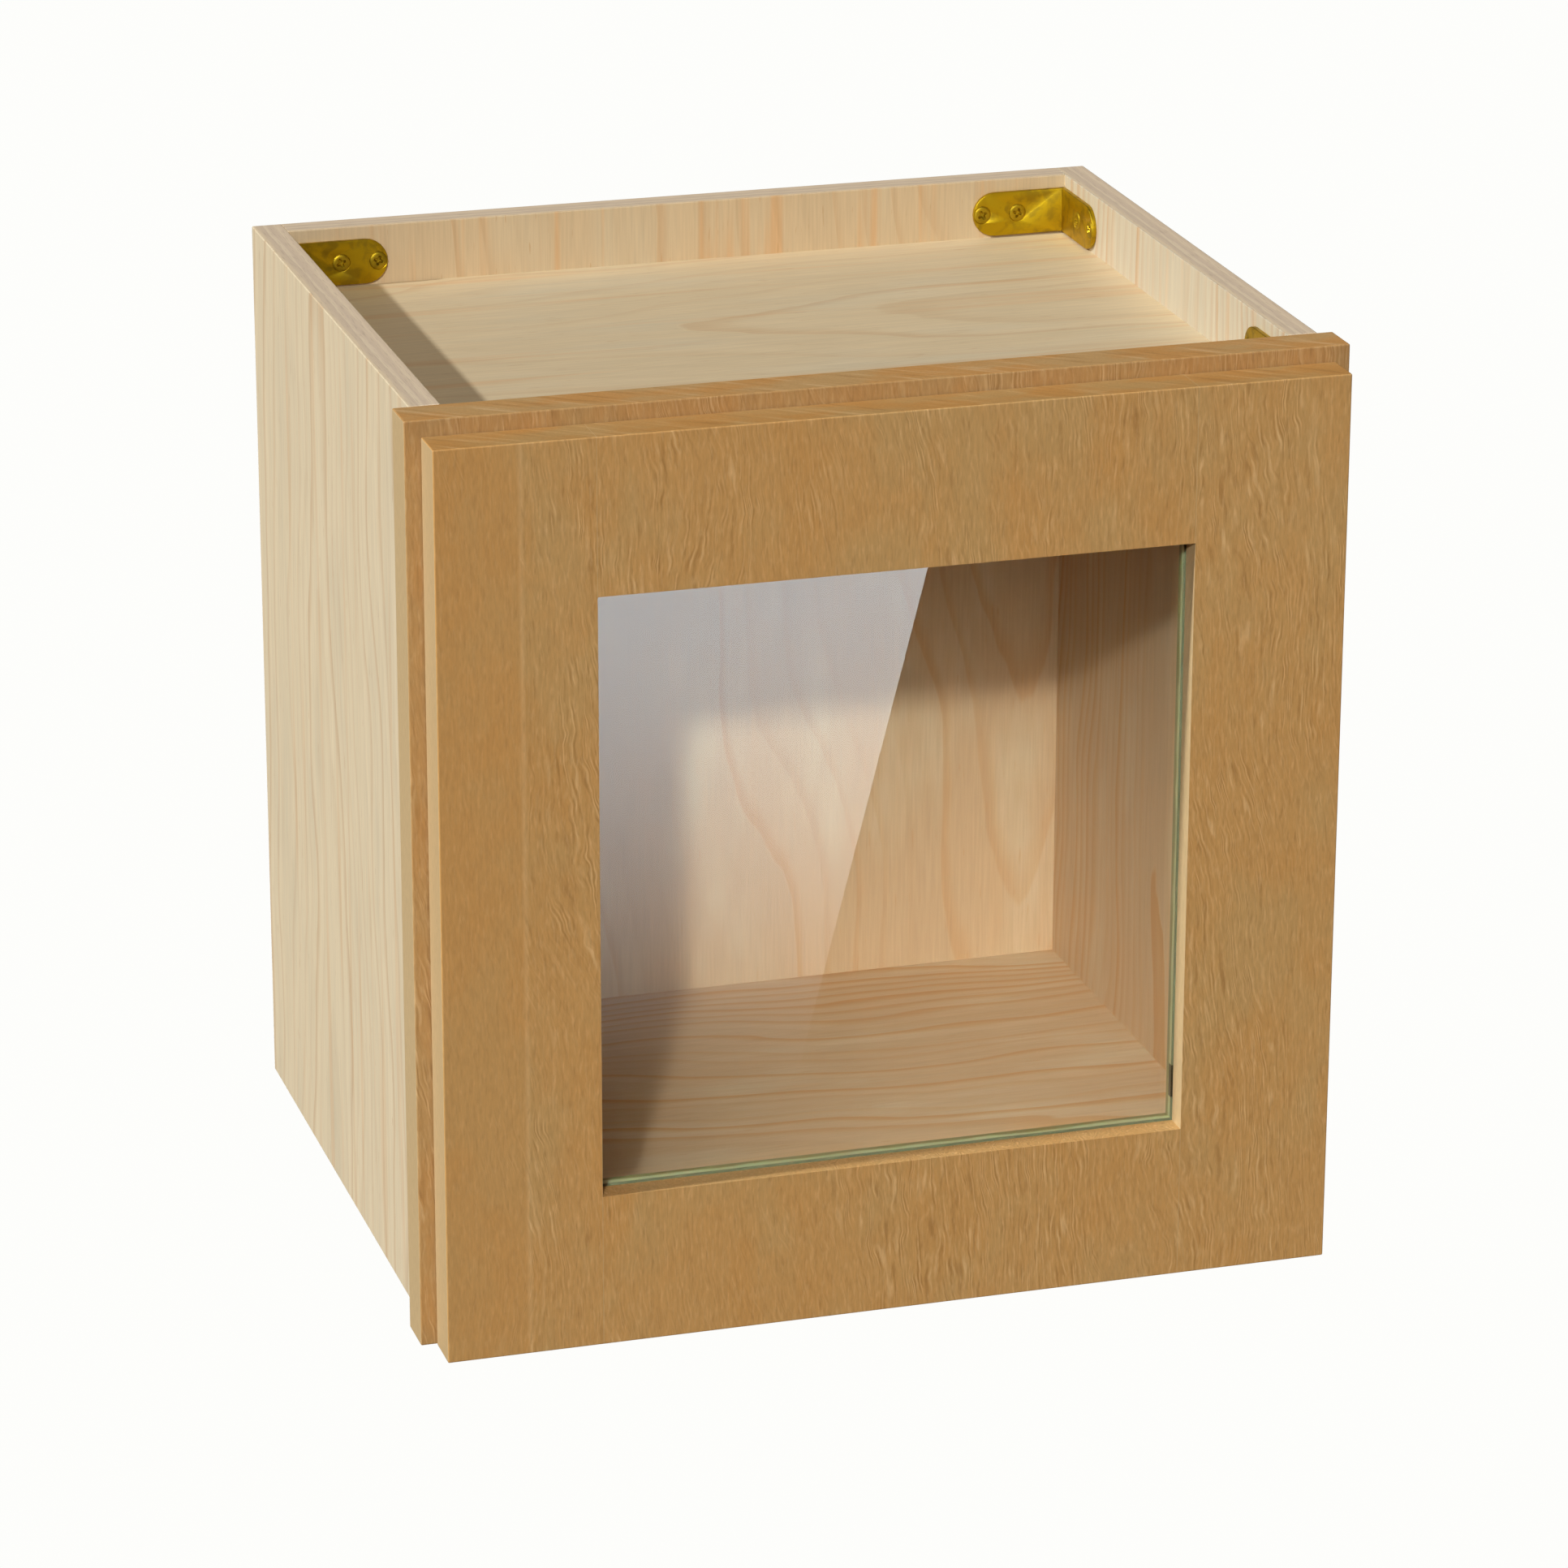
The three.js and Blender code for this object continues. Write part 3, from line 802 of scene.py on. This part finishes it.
@dataclass(frozen=True)
class MouldedPlastic:
    """Soft moulded plastic with a slight flow figure along its length, darker towards the back (partly painted
    shade), that can carry a painted shadow line and a painted black slit.
    """

    pale: Colour
    deep: Colour
    roughness: float
    turn: float = 0.0  # mm: where on Y the pale part passes into the deep one
    shadow_gap_front: float = -400.0  # mm on Y: a painted shadow line lies in front of this
    shade_slit: Span = (400.0, 401.0)  # mm on Z: the ends of a painted black slit on the right, painted shade
    shade_slit_back: float = -400.0  # mm on Y: how far back the slit reaches
    blur: float = 0.3  # mm over which the slit's edges fade
    # near-black of the painted shadow line and the painted slit
    painted_shade_black: Colour = (0.012, 0.014, 0.006)
    roughness_spread: float = 0.14
    shadow_gap_share: float = 0.55
    depth_share: float = 0.22  # how much of the deep colour each mm on Y adds; on the glazing strips this darkening to the back is partly painted shade
    flow: Pattern = Pattern((0.05, 0.3, 0.05), 3.0)
    grain: Pattern = Pattern((1.4, 1.4, 1.4), 2.0)

    def material(self, name: str) -> Material:
        """The plastic's material.

        Args:
            name: The material's name.

        Returns:
            The material.
        """
        graph = Graph(name)
        spot = Spot(graph, graph.place())
        x, y, z = spot.place
        # the deep colour grows towards the back: partly the plastic's own colour, partly painted shade
        flow = self.flow.noise(spot) + (y - self.turn) * self.depth_share
        base = graph.blend(flow.rise(0.35, 0.68), self.pale, self.deep)
        # a painted shadow line along the strip's front
        seam = y.rise(self.shadow_gap_front + 0.2, self.shadow_gap_front - 0.15) * self.shadow_gap_share
        # a painted black slit on the right strip: shade where no slot is modelled
        low, high = self.shade_slit
        shade_slit = z.rise(low - self.blur, low + self.blur) * z.rise(high + self.blur, high - self.blur)
        shade_hole = shade_slit * x.rise(-1.0, 1.0) * y.rise(self.shade_slit_back + self.blur, self.shade_slit_back - self.blur)
        grain = self.grain.noise(spot)
        return graph.dress(
            {
                "Base Color": graph.blend(seam.math("MAXIMUM", seam, shade_hole), base, self.painted_shade_black),
                "Roughness": grain.around(self.roughness, self.roughness_spread),
                "Normal": graph.bump(grain, 0.00003, 0.5),
                "Coat Weight": 0.3,
                "Subsurface Weight": 0.15,
                "Subsurface Scale": 0.002,
            }
        )


# ---------------------------------------------------------------- mesh work


@dataclass(frozen=True)
class Easing:
    """How far worked edges are taken off."""

    width: float
    segments: int = 2
    sharper_than: float = math.radians(50)


@dataclass(frozen=True)
class Dressing:
    """What a finished piece rides on, which slot it takes its finish from, and that finish."""

    body: Body
    slot: Slot
    material: Material


def add_object(name: str, data: bpy.types.ID) -> bpy.types.Object:
    """Adds an object to the scene.

    Args:
        name: Its name.
        data: Its mesh, light or camera.

    Returns:
        The object.
    """
    made = bpy.data.objects.new(name, data)
    bpy.context.scene.collection.objects.link(made)
    return made


def close_mesh(work: Work, name: str, material: Material) -> bpy.types.Mesh:
    """Turns worked geometry into a mesh with one material.

    Args:
        work: The mesh under work, freed here.
        name: The mesh's name.
        material: Its material.

    Returns:
        The mesh.
    """
    mesh = bpy.data.meshes.new(name)
    work.to_mesh(mesh)
    work.free()
    mesh.materials.append(material)
    return mesh


def add_loop(work: Work, points: Iterable[Point]) -> list[Vert]:
    """Adds corners at these points."""
    return [work.verts.new(point) for point in points]


def circle(radius: float, count: int) -> list[Span]:
    """The coordinates of as many points round a circle."""
    angles = (math.tau * i / count for i in range(count))
    return [(radius * math.cos(angle), radius * math.sin(angle)) for angle in angles]


def pairs(loop: Sequence[Vert]) -> Iterable[tuple[Vert, Vert]]:
    """Each corner of a closed loop with the next one."""
    return zip(loop, [*loop[1:], loop[0]])


def bridge(work: Work, upper: Sequence[Vert], lower: Sequence[Vert]) -> None:
    """Joins two loops of as many corners with a wall of faces."""
    for (a, b), (c, d) in zip(pairs(upper), pairs(lower)):
        work.faces.new((a, b, d, c))


def node_solid(node: str) -> Work:
    """The solid of a CAD node, its corners welded and its flat faces whole.

    Args:
        node: The node's name.

    Returns:
        The mesh under work, in the cabinet's frame.
    """
    work = bmesh.new()
    work.from_mesh(bpy.data.objects[node].data)
    bmesh.ops.remove_doubles(work, verts=work.verts, dist=WELD)
    bmesh.ops.dissolve_limit(work, angle_limit=FLAT_ANGLE, verts=work.verts, edges=work.edges)
    return work


def lies_on(face: bmesh.types.BMFace, planes: Iterable[Plane]) -> bool:
    """Whether a face lies on one of some planes.

    Args:
        face: The face.
        planes: The planes.

    Returns:
        True if all its corners are on one of them.
    """
    return any(
        all(abs(corner.co[axis.value] - place) < PLANE_TOLERANCE for corner in face.verts)
        for axis, place in planes
    )


def ease(work: Work, easing: Easing, planes: Sequence[Plane] | None = None) -> None:
    """Rounds the sharp edges of a solid.

    Args:
        work: The mesh under work.
        easing: How far the edges are taken off.
        planes: If given, only edges between two faces on these planes are eased.
    """
    edges = [
        edge
        for edge in work.edges
        if len(edge.link_faces) == 2
        and edge.calc_face_angle(0.0) > easing.sharper_than
        and (planes is None or all(lies_on(face, planes) for face in edge.link_faces))
    ]
    shape = {"offset": easing.width, "offset_type": "OFFSET", "segments": easing.segments, "profile": 0.5}
    bmesh.ops.bevel(work, geom=edges, affect="EDGES", clamp_overlap=True, **shape)


def finish_piece(
    work: Work, name: str, dressing: Dressing, replaced: Sequence[str], smooth: bool = False
) -> None:
    """Turns worked geometry into a finished piece of the cabinet.

    Args:
        work: The mesh under work, freed here.
        name: The piece's name.
        dressing: Its body, slot and material.
        replaced: The CAD nodes that it stands for.
        smooth: Whether its rounded faces are shaded smooth.
    """
    bmesh.ops.recalc_face_normals(work, faces=work.faces)
    mesh = close_mesh(work, name, dressing.material)
    if smooth:
        mesh.shade_smooth()
        mesh.set_sharp_from_angle(angle=SMOOTH_ANGLE)
    piece = add_object(name, mesh)
    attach(piece, dressing.body.value)
    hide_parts(*replaced)
    LOG.info("%s: %d faces, rides on %s", name, len(mesh.polygons), dressing.body.value)


def box_planes(nodes: Iterable[str]) -> list[Plane]:
    """The six outer planes of the box that holds some CAD nodes.

    Args:
        nodes: The nodes' names.

    Returns:
        The planes.
    """
    boxes = [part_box(node) for node in nodes]
    planes = []
    for axis in Axis:
        planes.append((axis, min(low[axis.value] for low, _ in boxes)))
        planes.append((axis, max(high[axis.value] for _, high in boxes)))
    return planes


def build_members(nodes: Sequence[str], easing: Easing, dressing: Dressing) -> None:
    """Makes the members of a frame, eased only round the frame as a whole.

    Args:
        nodes: The members' CAD nodes.
        easing: How far their edges are taken off.
        dressing: Their body, slot and material.
    """
    planes = box_planes(nodes)
    for node in nodes:
        work = node_solid(node)
        ease(work, easing, planes)
        finish_piece(work, f"worked_{node}", dressing, [node])


@dataclass(frozen=True)
class CrossScrew:
    """A countersunk screw with a raised head and a cross recess, made in place of its CAD node."""

    node: str
    turns: int = 28
    dome: float = 0.00022
    rim: float = 0.00018
    head_share: float = 0.52  # the head's height, of its radius
    shank_share: float = 0.4  # the shank's radius, of the head's
    point_share: float = 1.8  # the point's length, of the shank's radius
    crown_share: float = 0.68  # the flat crown's radius, of the head's
    shoulder_share: float = 0.93  # where the dome turns down, of the head's radius
    shoulder_height: float = 0.35  # of the dome's
    reach: float = 0.58  # of the recess's arms, of the head's radius
    slot: float = 0.13  # half width of the arms, of the head's radius
    inner: float = 1.7  # how far the corners between the arms stand off, of the half width
    floor_share: float = 0.55  # the size of the recess's floor, of its mouth's
    depth: float = 0.62  # of the recess, of the head's height
    pit: float = 1.15  # of its lowest point, of its depth

    def seat(self) -> tuple[Matrix, float, float]:
        """Where the screw's head lies.

        Returns:
            The turn and place that bring a screw built head up at the origin to its seat, the head's
            radius, and the screw's length.
        """
        low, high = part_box(self.node)
        extent = high - low
        axis = max(range(3), key=lambda i: extent[i])
        middle = (low + high) / 2
        corners = [vertex.co for vertex in bpy.data.objects[self.node].data.vertices]
        spread = [corner - middle for corner in corners]
        for offset in spread:
            offset[axis] = 0.0
        radius = max(offset.length for offset in spread)
        head = next(corner for corner, offset in zip(corners, spread) if offset.length > 0.98 * radius)
        outward = Vector((0, 0, 0))
        outward[axis] = 1.0 if head[axis] > middle[axis] else -1.0
        centre = middle.copy()
        centre[axis] = head[axis]
        turn = outward.to_track_quat("Z", "Y").to_matrix().to_4x4()
        return Matrix.Translation(centre) @ turn, radius, extent[axis]

    def cross(self, radius: float, height: float, quarter: float) -> list[Point]:
        """The outline of the cross recess.

        Args:
            radius: The head's radius, scaled as the outline is to be.
            height: Where the outline lies.
            quarter: How far it is turned, in radians.

        Returns:
            Its twelve corners in order.
        """
        reach, slot = radius * self.reach, radius * self.slot
        quadrant = ((reach, -slot), (reach, slot), (self.inner * slot, self.inner * slot))
        points = []
        for turn in range(4):
            angle = quarter + turn * math.pi / 2
            cosine, sine = math.cos(angle), math.sin(angle)
            points += [(x * cosine - y * sine, x * sine + y * cosine, height) for x, y in quadrant]
        return points

    def build(self, dressing: Dressing, quarter: float) -> None:
        """Makes the screw.

        Args:
            dressing: Its body, slot and material.
            quarter: How far its recess is turned, in radians.
        """
        seat, radius, length = self.seat()
        head_height = radius * self.head_share
        shank = radius * self.shank_share
        recess = head_height * self.depth
        profile = (
            (radius * self.crown_share, self.dome),
            (radius * self.shoulder_share, self.dome * self.shoulder_height),
            (radius - self.rim, 0.0),
            (radius, -self.rim),
            (shank, -head_height),
            (shank, -length + self.point_share * shank),
        )
        work = bmesh.new()
        rings = [add_loop(work, ((x, y, z) for x, y in circle(r, self.turns))) for r, z in profile]
        mouth = add_loop(work, self.cross(radius, self.dome, quarter))
        floor = add_loop(work, self.cross(radius * self.floor_share, self.dome - recess, quarter))
        rim_edges = [work.edges.new(ends) for loop in (rings[0], mouth) for ends in pairs(loop)]
        bmesh.ops.triangle_fill(work, use_beauty=True, edges=rim_edges)
        for upper, lower in [*zip(rings, rings[1:]), (mouth, floor)]:
            bridge(work, upper, lower)
        for loop, height in ((rings[-1], -length), (floor, self.dome - recess * self.pit)):
            point = work.verts.new((0, 0, height))
            for a, b in pairs(loop):
                work.faces.new((a, b, point))
        bmesh.ops.transform(work, matrix=seat, verts=work.verts)
        finish_piece(work, f"cross_{self.node}", dressing, [self.node], smooth=True)


# ---------------------------------------------------------------- sub-assemblies


@dataclass
class Carcass:
    """The plywood box: two sides, a back and two decks."""

    easing: Easing = Easing(width=0.00045)
    sides: tuple[str, str] = ("left_side", "right_side")
    back: str = "back_panel"
    cuts: tuple[Cut, ...] = (
        Cut("left_side", Lie.SIDE, heart=-118.0, taper=0.05, seed=3.0, face_tint=(1.035, 1.06, 1.07),
            lined_high=True, lively=0.6, streaky=0.3),
        Cut("right_side", Lie.SIDE, heart=-150.0, taper=0.03, seed=17.0, face_tint=(0.77, 0.82, 0.89),
            lined_high=False, lively=1.0, streaky=0.35, spacing=6.5, contrast=0.55),
        Cut("back_panel", Lie.BACK, heart=150.0, taper=-0.16, seed=29.0, face_tint=(0.86, 0.80, 0.74),
            lined_high=False, lively=0.8, streaky=0.7, spacing=15.0),
        Cut("top_deck", Lie.DECK, heart=-120.0, taper=-0.12, seed=41.0, face_tint=(0.93, 0.90, 0.84),
            lined_high=False, lively=0.8, streaky=0.4, spacing=11.0, contrast=0.3),
        Cut("bottom_deck", Lie.DECK, heart=-205.0, taper=0.06, seed=53.0, face_tint=(0.95, 0.92, 0.88),
            lined_high=True, lively=1.0, streaky=0.4, spacing=7.5, contrast=0.6),
    )

    def build(self, finish: PlywoodFinish) -> None:
        """Makes the boards.

        Args:
            finish: The plywood's finish.
        """
        planes = box_planes(cut.node for cut in self.cuts)
        for cut in self.cuts:
            node = cut.node
            low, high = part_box(node)
            faces = [(Axis.X, low.x), (Axis.X, high.x)] if node in self.sides else []
            if node == self.back:
                faces = [(Axis.Y, low.y)]
            work = node_solid(node)
            ease(work, self.easing, planes + faces)
            dressing = Dressing(Body.CABINET, Slot.PLYWOOD, finish.material(f"plywood_{node}", cut))
            finish_piece(work, f"board_{node}", dressing, [node])


@dataclass
class FaceFrame:
    """The solid wood frame on the front of the box."""

    easing: Easing = Easing(width=0.0006, segments=3)
    members: tuple[str, ...] = ("frame_left_stile", "frame_right_stile", "frame_top_rail", "frame_bottom_rail")

    def build(self, finish: HardwoodFinish) -> None:
        """Makes the stiles and rails in this finish."""
        dressing = Dressing(Body.CABINET, Slot.HARDWOOD, finish.material("face_frame_hardwood"))
        build_members(self.members, self.easing, dressing)


@dataclass
class CornerBracket:
    """One brass corner bracket with its four screws."""

    corner: str
    easing: Easing = Easing(width=0.0003)

    def build(self, brass: Material, screw_brass: Material) -> None:
        """Makes the bracket and its screws.

        Args:
            brass: The bracket's material.
            screw_brass: The screws' material.
        """
        node = f"corner_bracket_{self.corner}"
        work = node_solid(node)
        ease(work, self.easing)
        finish_piece(work, f"brass_{node}", Dressing(Body.CABINET, Slot.BRASS, brass), [node], smooth=True)
        dressing = Dressing(Body.CABINET, Slot.BRASS, screw_brass)
        for leg_number, leg in enumerate(("wall", "side")):
            for number in (1, 2):
                turn = GOLDEN_TURN * (2 * leg_number + number + len(self.corner))
                CrossScrew(f"bracket_screw_{self.corner}_{leg}_{number}").build(dressing, turn)


@dataclass
class Door:
    """The framed glass door: stiles, rails, pane, glazing strips and bumper pads."""

    easing: Easing = Easing(width=0.0006, segments=3)
    pane_easing: Easing = Easing(width=0.0004, segments=1)
    strip_easing: Easing = Easing(width=0.0012, segments=4)
    members: tuple[str, ...] = ("door_left_stile", "door_right_stile", "door_top_rail", "door_bottom_rail")
    strips: tuple[str, ...] = ("left", "right", "top", "bottom")
    pads: tuple[str, ...] = ("upper", "lower")
    pad_turns: int = 40
    pad_rings: int = 6
    pad_fullness: float = 0.6  # below 1, the dome stands fuller than a round one

    def build(self, finish: HardwoodFinish, glass: Material, vinyl: Material, clear: Material) -> None:
        """Makes every piece of the door.

        Args:
            finish: The hardwood's finish.
            glass: The pane's material.
            vinyl: The glazing strips' material.
            clear: The bumper pads' material.
        """
        dressing = Dressing(Body.DOOR, Slot.HARDWOOD, finish.material("door_hardwood"))
        build_members(self.members, self.easing, dressing)
        self.build_glazing(glass, vinyl)
        for level in self.pads:
            self.build_pad(level, clear)

    def build_glazing(self, glass: Material, vinyl: Material) -> None:
        """Makes the pane with ground edges and the strips that hold it.

        Args:
            glass: The pane's material.
            vinyl: The strips' material.
        """
        pane = node_solid("glass_pane")
        ease(pane, self.pane_easing)
        finish_piece(pane, "ground_glass_pane", Dressing(Body.DOOR, Slot.GLASS, glass), ["glass_pane"])
        for side in self.strips:
            node = f"glazing_strip_{side}"
            low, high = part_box(node)
            work = node_solid(node)
            inner = {
                "left": (Axis.X, high.x),
                "right": (Axis.X, low.x),
                "top": (Axis.Z, low.z),
                "bottom": (Axis.Z, high.z),
            }[side]
            ease(work, self.strip_easing, [inner, (Axis.Y, high.y)])
            finish_piece(work, f"rounded_{node}", Dressing(Body.DOOR, Slot.VINYL, vinyl), [node], smooth=True)

    def build_pad(self, level: str, clear: Material) -> None:
        """Makes a domed bumper pad on the door's back.

        Args:
            level: Which pad.
            clear: Its material.
        """
        node = f"bumper_{level}"
        low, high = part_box(node)
        middle = (low + high) / 2
        work = bmesh.new()
        loops = []
        for step in range(self.pad_rings):
            angle = math.pi / 2 * step / self.pad_rings
            radius = (high.x - low.x) / 2 * math.cos(angle) ** self.pad_fullness
            y = low.y + (high.y - low.y) * math.sin(angle)
            points = circle(radius, self.pad_turns)
            loops.append(add_loop(work, ((middle.x + x, y, middle.z + z) for x, z in points)))
        for upper, lower in zip(loops, loops[1:]):
            bridge(work, upper, lower)
        work.faces.new(loops[0])
        work.faces.new(loops[-1])
        finish_piece(work, f"domed_{node}", Dressing(Body.DOOR, Slot.BUMPER, clear), [node], smooth=True)


@dataclass
class CupHinge:
    """One concealed hinge: arm, cranked link, cup, two pins and four screws."""

    level: str
    easing: Easing = Easing(width=0.0002)

    def build(self, steel: Material) -> None:
        """Makes the hinge's pieces.

        Args:
            steel: Their material.
        """
        parts = {
            f"hinge_arm_{self.level}": Body.CABINET,
            f"arm_pin_{self.level}": Body.CABINET,
            f"hinge_link_{self.level}": Body.LINKS,
            f"hinge_cup_{self.level}": Body.DOOR,
            f"cup_pin_{self.level}": Body.DOOR,
        }
        for node, body in parts.items():
            work = node_solid(node)
            ease(work, self.easing)
            finish_piece(work, f"nickel_{node}", Dressing(body, Slot.STEEL, steel), [node], smooth=True)
        held = {"arm": Dressing(Body.CABINET, Slot.STEEL, steel), "cup": Dressing(Body.DOOR, Slot.STEEL, steel)}
        for number, end in enumerate(("below", "above")):
            turn = GOLDEN_TURN * (number + len(self.level))
            for extra, (part, dressing) in enumerate(held.items()):
                CrossScrew(f"{part}_screw_{self.level}_{end}").build(dressing, turn + extra)


# ---------------------------------------------------------------- studio


@dataclass(frozen=True)
class Lamp:
    """A far lamp: the way its light travels, its strength, its size in the sky and its colour."""

    name: str
    travels: Point
    strength: float
    spread: float  # degrees
    colour: Colour

    def build(self) -> None:
        """Adds the lamp to the scene."""
        data = bpy.data.lights.new(self.name, type="SUN")
        data.energy = self.strength
        data.angle = math.radians(self.spread)
        data.color = self.colour
        lamp = add_object(self.name, data)
        lamp.rotation_euler = Vector(self.travels).to_track_quat("-Z", "Y").to_euler()


@dataclass
class Studio:
    """A plain pale room: floor, lamps, sky, a soft reflection card and the camera."""

    floor_height: float = -1.55
    floor_radius: float = 40.0
    floor_sides: int = 96
    paper: Colour = (0.985, 0.985, 0.965)  # what the eye sees of the floor and the sky
    zenith: float = 0.045  # the sky's brightness overhead
    horizon: float = 0.15
    sky: Colour = (1.0, 0.76, 0.56)
    haze: Colour = (1.0, 0.63, 0.43)
    floor_lit: Colour = (0.15, 0.098, 0.062)  # what the floor sends back to the cabinet
    floor_mirrored: Colour = (0.030, 0.020, 0.013)  # what the pane mirrors of it
    card_colour: Colour = (0.88, 0.96, 1.0)
    lamps: tuple[Lamp, ...] = (
        Lamp("window_lamp", (0.397, 1.0, -0.541), strength=1.86, spread=2.6, colour=(1.0, 0.995, 0.975)),
        Lamp("side_lamp", (1.53, 0.06, -1.0), strength=2.45, spread=2.2, colour=(0.98, 1.0, 1.035)),
        Lamp("back_fill", (0.1, -1.0, 0.25), strength=0.7, spread=20.0, colour=(1.0, 1.0, 1.0)),
        Lamp("right_fill", (-1.0, 0.0, 0.3), strength=1.1, spread=30.0, colour=(1.0, 0.98, 0.95)),
    )
    card_corners: tuple[Span, ...] = ((0.12, -0.10), (0.494, -0.10), (0.3115, -0.82), (0.12, -0.82))
    card_distance: float = -1.6
    card_strength: float = 9.3
    card_fade: Span = (150.0, 190.0)  # mm above its foot and below its top
    eye: Point = (-0.70654, -2.50435, 0.85962)
    yaw: float = 16.7905  # degrees
    pitch: float = -19.7851
    roll: float = 0.1317
    lens: float = 143.968  # mm
    sensor: float = 36.0  # mm
    farthest: float = 200.0

    def build(self) -> None:
        """Adds the whole studio to the scene."""
        self.build_sky()
        self.build_floor()
        self.build_card()
        for lamp in self.lamps:
            lamp.build()
        self.build_camera()
        view = bpy.context.scene.view_settings
        view.view_transform = "Standard"
        view.look = "None"

    def build_sky(self) -> None:
        """A dim even sky that looks like white paper when seen."""
        graph = Graph("studio", world=True)
        way = graph.node("ShaderNodeTexCoord").outputs["Generated"]
        height = Value(graph, graph.node("ShaderNodeSeparateXYZ", inputs={0: way}).outputs[2])
        dim = tuple(channel * self.zenith for channel in self.sky)
        bright = tuple(channel * self.horizon for channel in self.haze)
        colour = graph.blend(height, bright, dim)
        glow = graph.node("ShaderNodeBackground", inputs={"Color": colour})
        seen = graph.node("ShaderNodeBackground", inputs={"Color": self.paper})
        shown = graph.mix(graph.seen(), glow, seen)
        graph.node("ShaderNodeOutputWorld", inputs={"Surface": shown.outputs[0]})
        bpy.context.scene.world = graph.owner

    def build_floor(self) -> None:
        """A wide pale floor, well below the cabinet."""
        graph = Graph("floor_paper")
        lit = graph.node("ShaderNodeBsdfDiffuse", inputs={"Color": self.floor_lit})
        mirrored = graph.node("ShaderNodeEmission", inputs={"Color": self.floor_mirrored})
        seen = graph.node("ShaderNodeEmission", inputs={"Color": self.paper})
        unseen = graph.mix(graph.ray("Glossy Depth").rise(0.4, 0.6), lit, mirrored)
        material = graph.finish(graph.mix(graph.seen(), unseen, seen))
        work = bmesh.new()
        bmesh.ops.create_circle(work, cap_ends=True, segments=self.floor_sides, radius=self.floor_radius)
        floor = add_object("floor", close_mesh(work, "floor", material))
        floor.location.z = self.floor_height

    def build_card(self) -> None:
        """A bright card low at the right, seen only as the pane's slanted reflection."""
        graph = Graph("reflection_card")
        height = graph.place()[2]
        top, bottom = self.card_corners[0][1] / MM, self.card_corners[2][1] / MM
        lit = height.rise(bottom + self.card_fade[0], top - self.card_fade[1])
        fade = graph.blend(lit, (0.0, 0.0, 0.0), self.card_colour)
        shine = graph.node("ShaderNodeEmission", inputs={"Color": fade, "Strength": self.card_strength})
        dark = graph.node("ShaderNodeEmission", inputs={"Color": (0.0, 0.0, 0.0)})
        in_front = graph.ray("Is Singular Ray") * graph.ray("Transmission Depth").rise(0.6, 0.4)
        material = graph.finish(graph.mix(in_front, dark, shine))
        work = bmesh.new()
        work.faces.new(add_loop(work, ((x, self.card_distance, z) for x, z in self.card_corners)))
        card = add_object("reflection_card", close_mesh(work, "reflection_card", material))
        card.visible_camera = False
        card.visible_diffuse = False
        card.visible_shadow = False

    def build_camera(self) -> None:
        """The camera, in front of the cabinet, above it and to its left."""
        yaw, pitch, roll = (math.radians(angle) for angle in (self.yaw, self.pitch, self.roll))
        forward = Vector((math.sin(yaw) * math.cos(pitch), math.cos(yaw) * math.cos(pitch), math.sin(pitch)))
        level = Vector((math.cos(yaw), -math.sin(yaw), 0.0))
        upright = level.cross(forward)
        right = level * math.cos(roll) + upright * math.sin(roll)
        up = upright * math.cos(roll) - level * math.sin(roll)
        data = bpy.data.cameras.new("camera")
        data.lens = self.lens
        data.sensor_width = self.sensor
        data.dof.use_dof = False
        data.clip_end = self.farthest
        camera = add_object("camera", data)
        turn = Matrix((right, up, -forward)).transposed().to_4x4()
        camera.matrix_world = Matrix.Translation(self.eye) @ turn
        bpy.context.scene.camera = camera


def main() -> None:
    """Builds the studio and every sub-assembly in order."""
    logging.basicConfig(level=logging.INFO, format="%(name)s: %(message)s")
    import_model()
    Studio().build()

    plywood = PlywoodFinish()
    door_wood = HardwoodFinish()
    frame_wood = HardwoodFinish(
        seed=31.0,
        warmth=0.7,
        stave_edge=-400.0,
        tint=(0.79, 0.80, 0.87),
        # a paler painted sheen on the frame's upright edges
        pale=(0.84, 0.62, 0.30),
        sheen_edges=(190.5,),
        top=190.5,
        top_tone=1.22,
    )
    brass = BrushedMetal(
        (0.58, 0.40, 0.014), (0.32, 0.22, 0.018), tarnish_share=0.7, roughness=0.42, brushed_along=Axis.X
    ).material("brushed_brass")
    screw_brass = BrushedMetal(
        (0.50, 0.35, 0.02), (0.28, 0.20, 0.012), tarnish_share=0.7, roughness=0.5, brushed_along=Axis.X
    ).material("screw_brass")
    nickel = BrushedMetal(
        (0.66, 0.64, 0.60), (0.45, 0.43, 0.40), tarnish_share=0.4, roughness=0.3
    ).material("brushed_nickel")
    glass = ClearGlass().material("float_glass")
    vinyl = MouldedPlastic(
        # the strips' pale front partly paints a highlight and their deep back partly paints shade, over the
        # vinyl's own green
        pale=(0.44, 0.48, 0.27),
        deep=(0.20, 0.19, 0.07),
        roughness=0.32,
        turn=-301.0,
        # the painted shadow line along the strips' front
        shadow_gap_front=-303.2,
        # a painted black slit low on the right strip
        shade_slit=(-118.0, -104.0),
        shade_slit_back=-300.9,
    ).material("glazing_vinyl")
    clear = MouldedPlastic(
        pale=(0.86, 0.87, 0.85), deep=(0.78, 0.80, 0.78), roughness=0.3, turn=-299.0
    ).material("bumper_clear")

    Carcass().build(plywood)
    FaceFrame().build(frame_wood)
    for corner in ("back_left", "back_right", "front_left", "front_right"):
        CornerBracket(corner).build(brass, screw_brass)
    Door().build(door_wood, glass, vinyl, clear)
    for level in ("lower", "upper"):
        CupHinge(level).build(nickel)


if __name__ == "__main__":
    main()
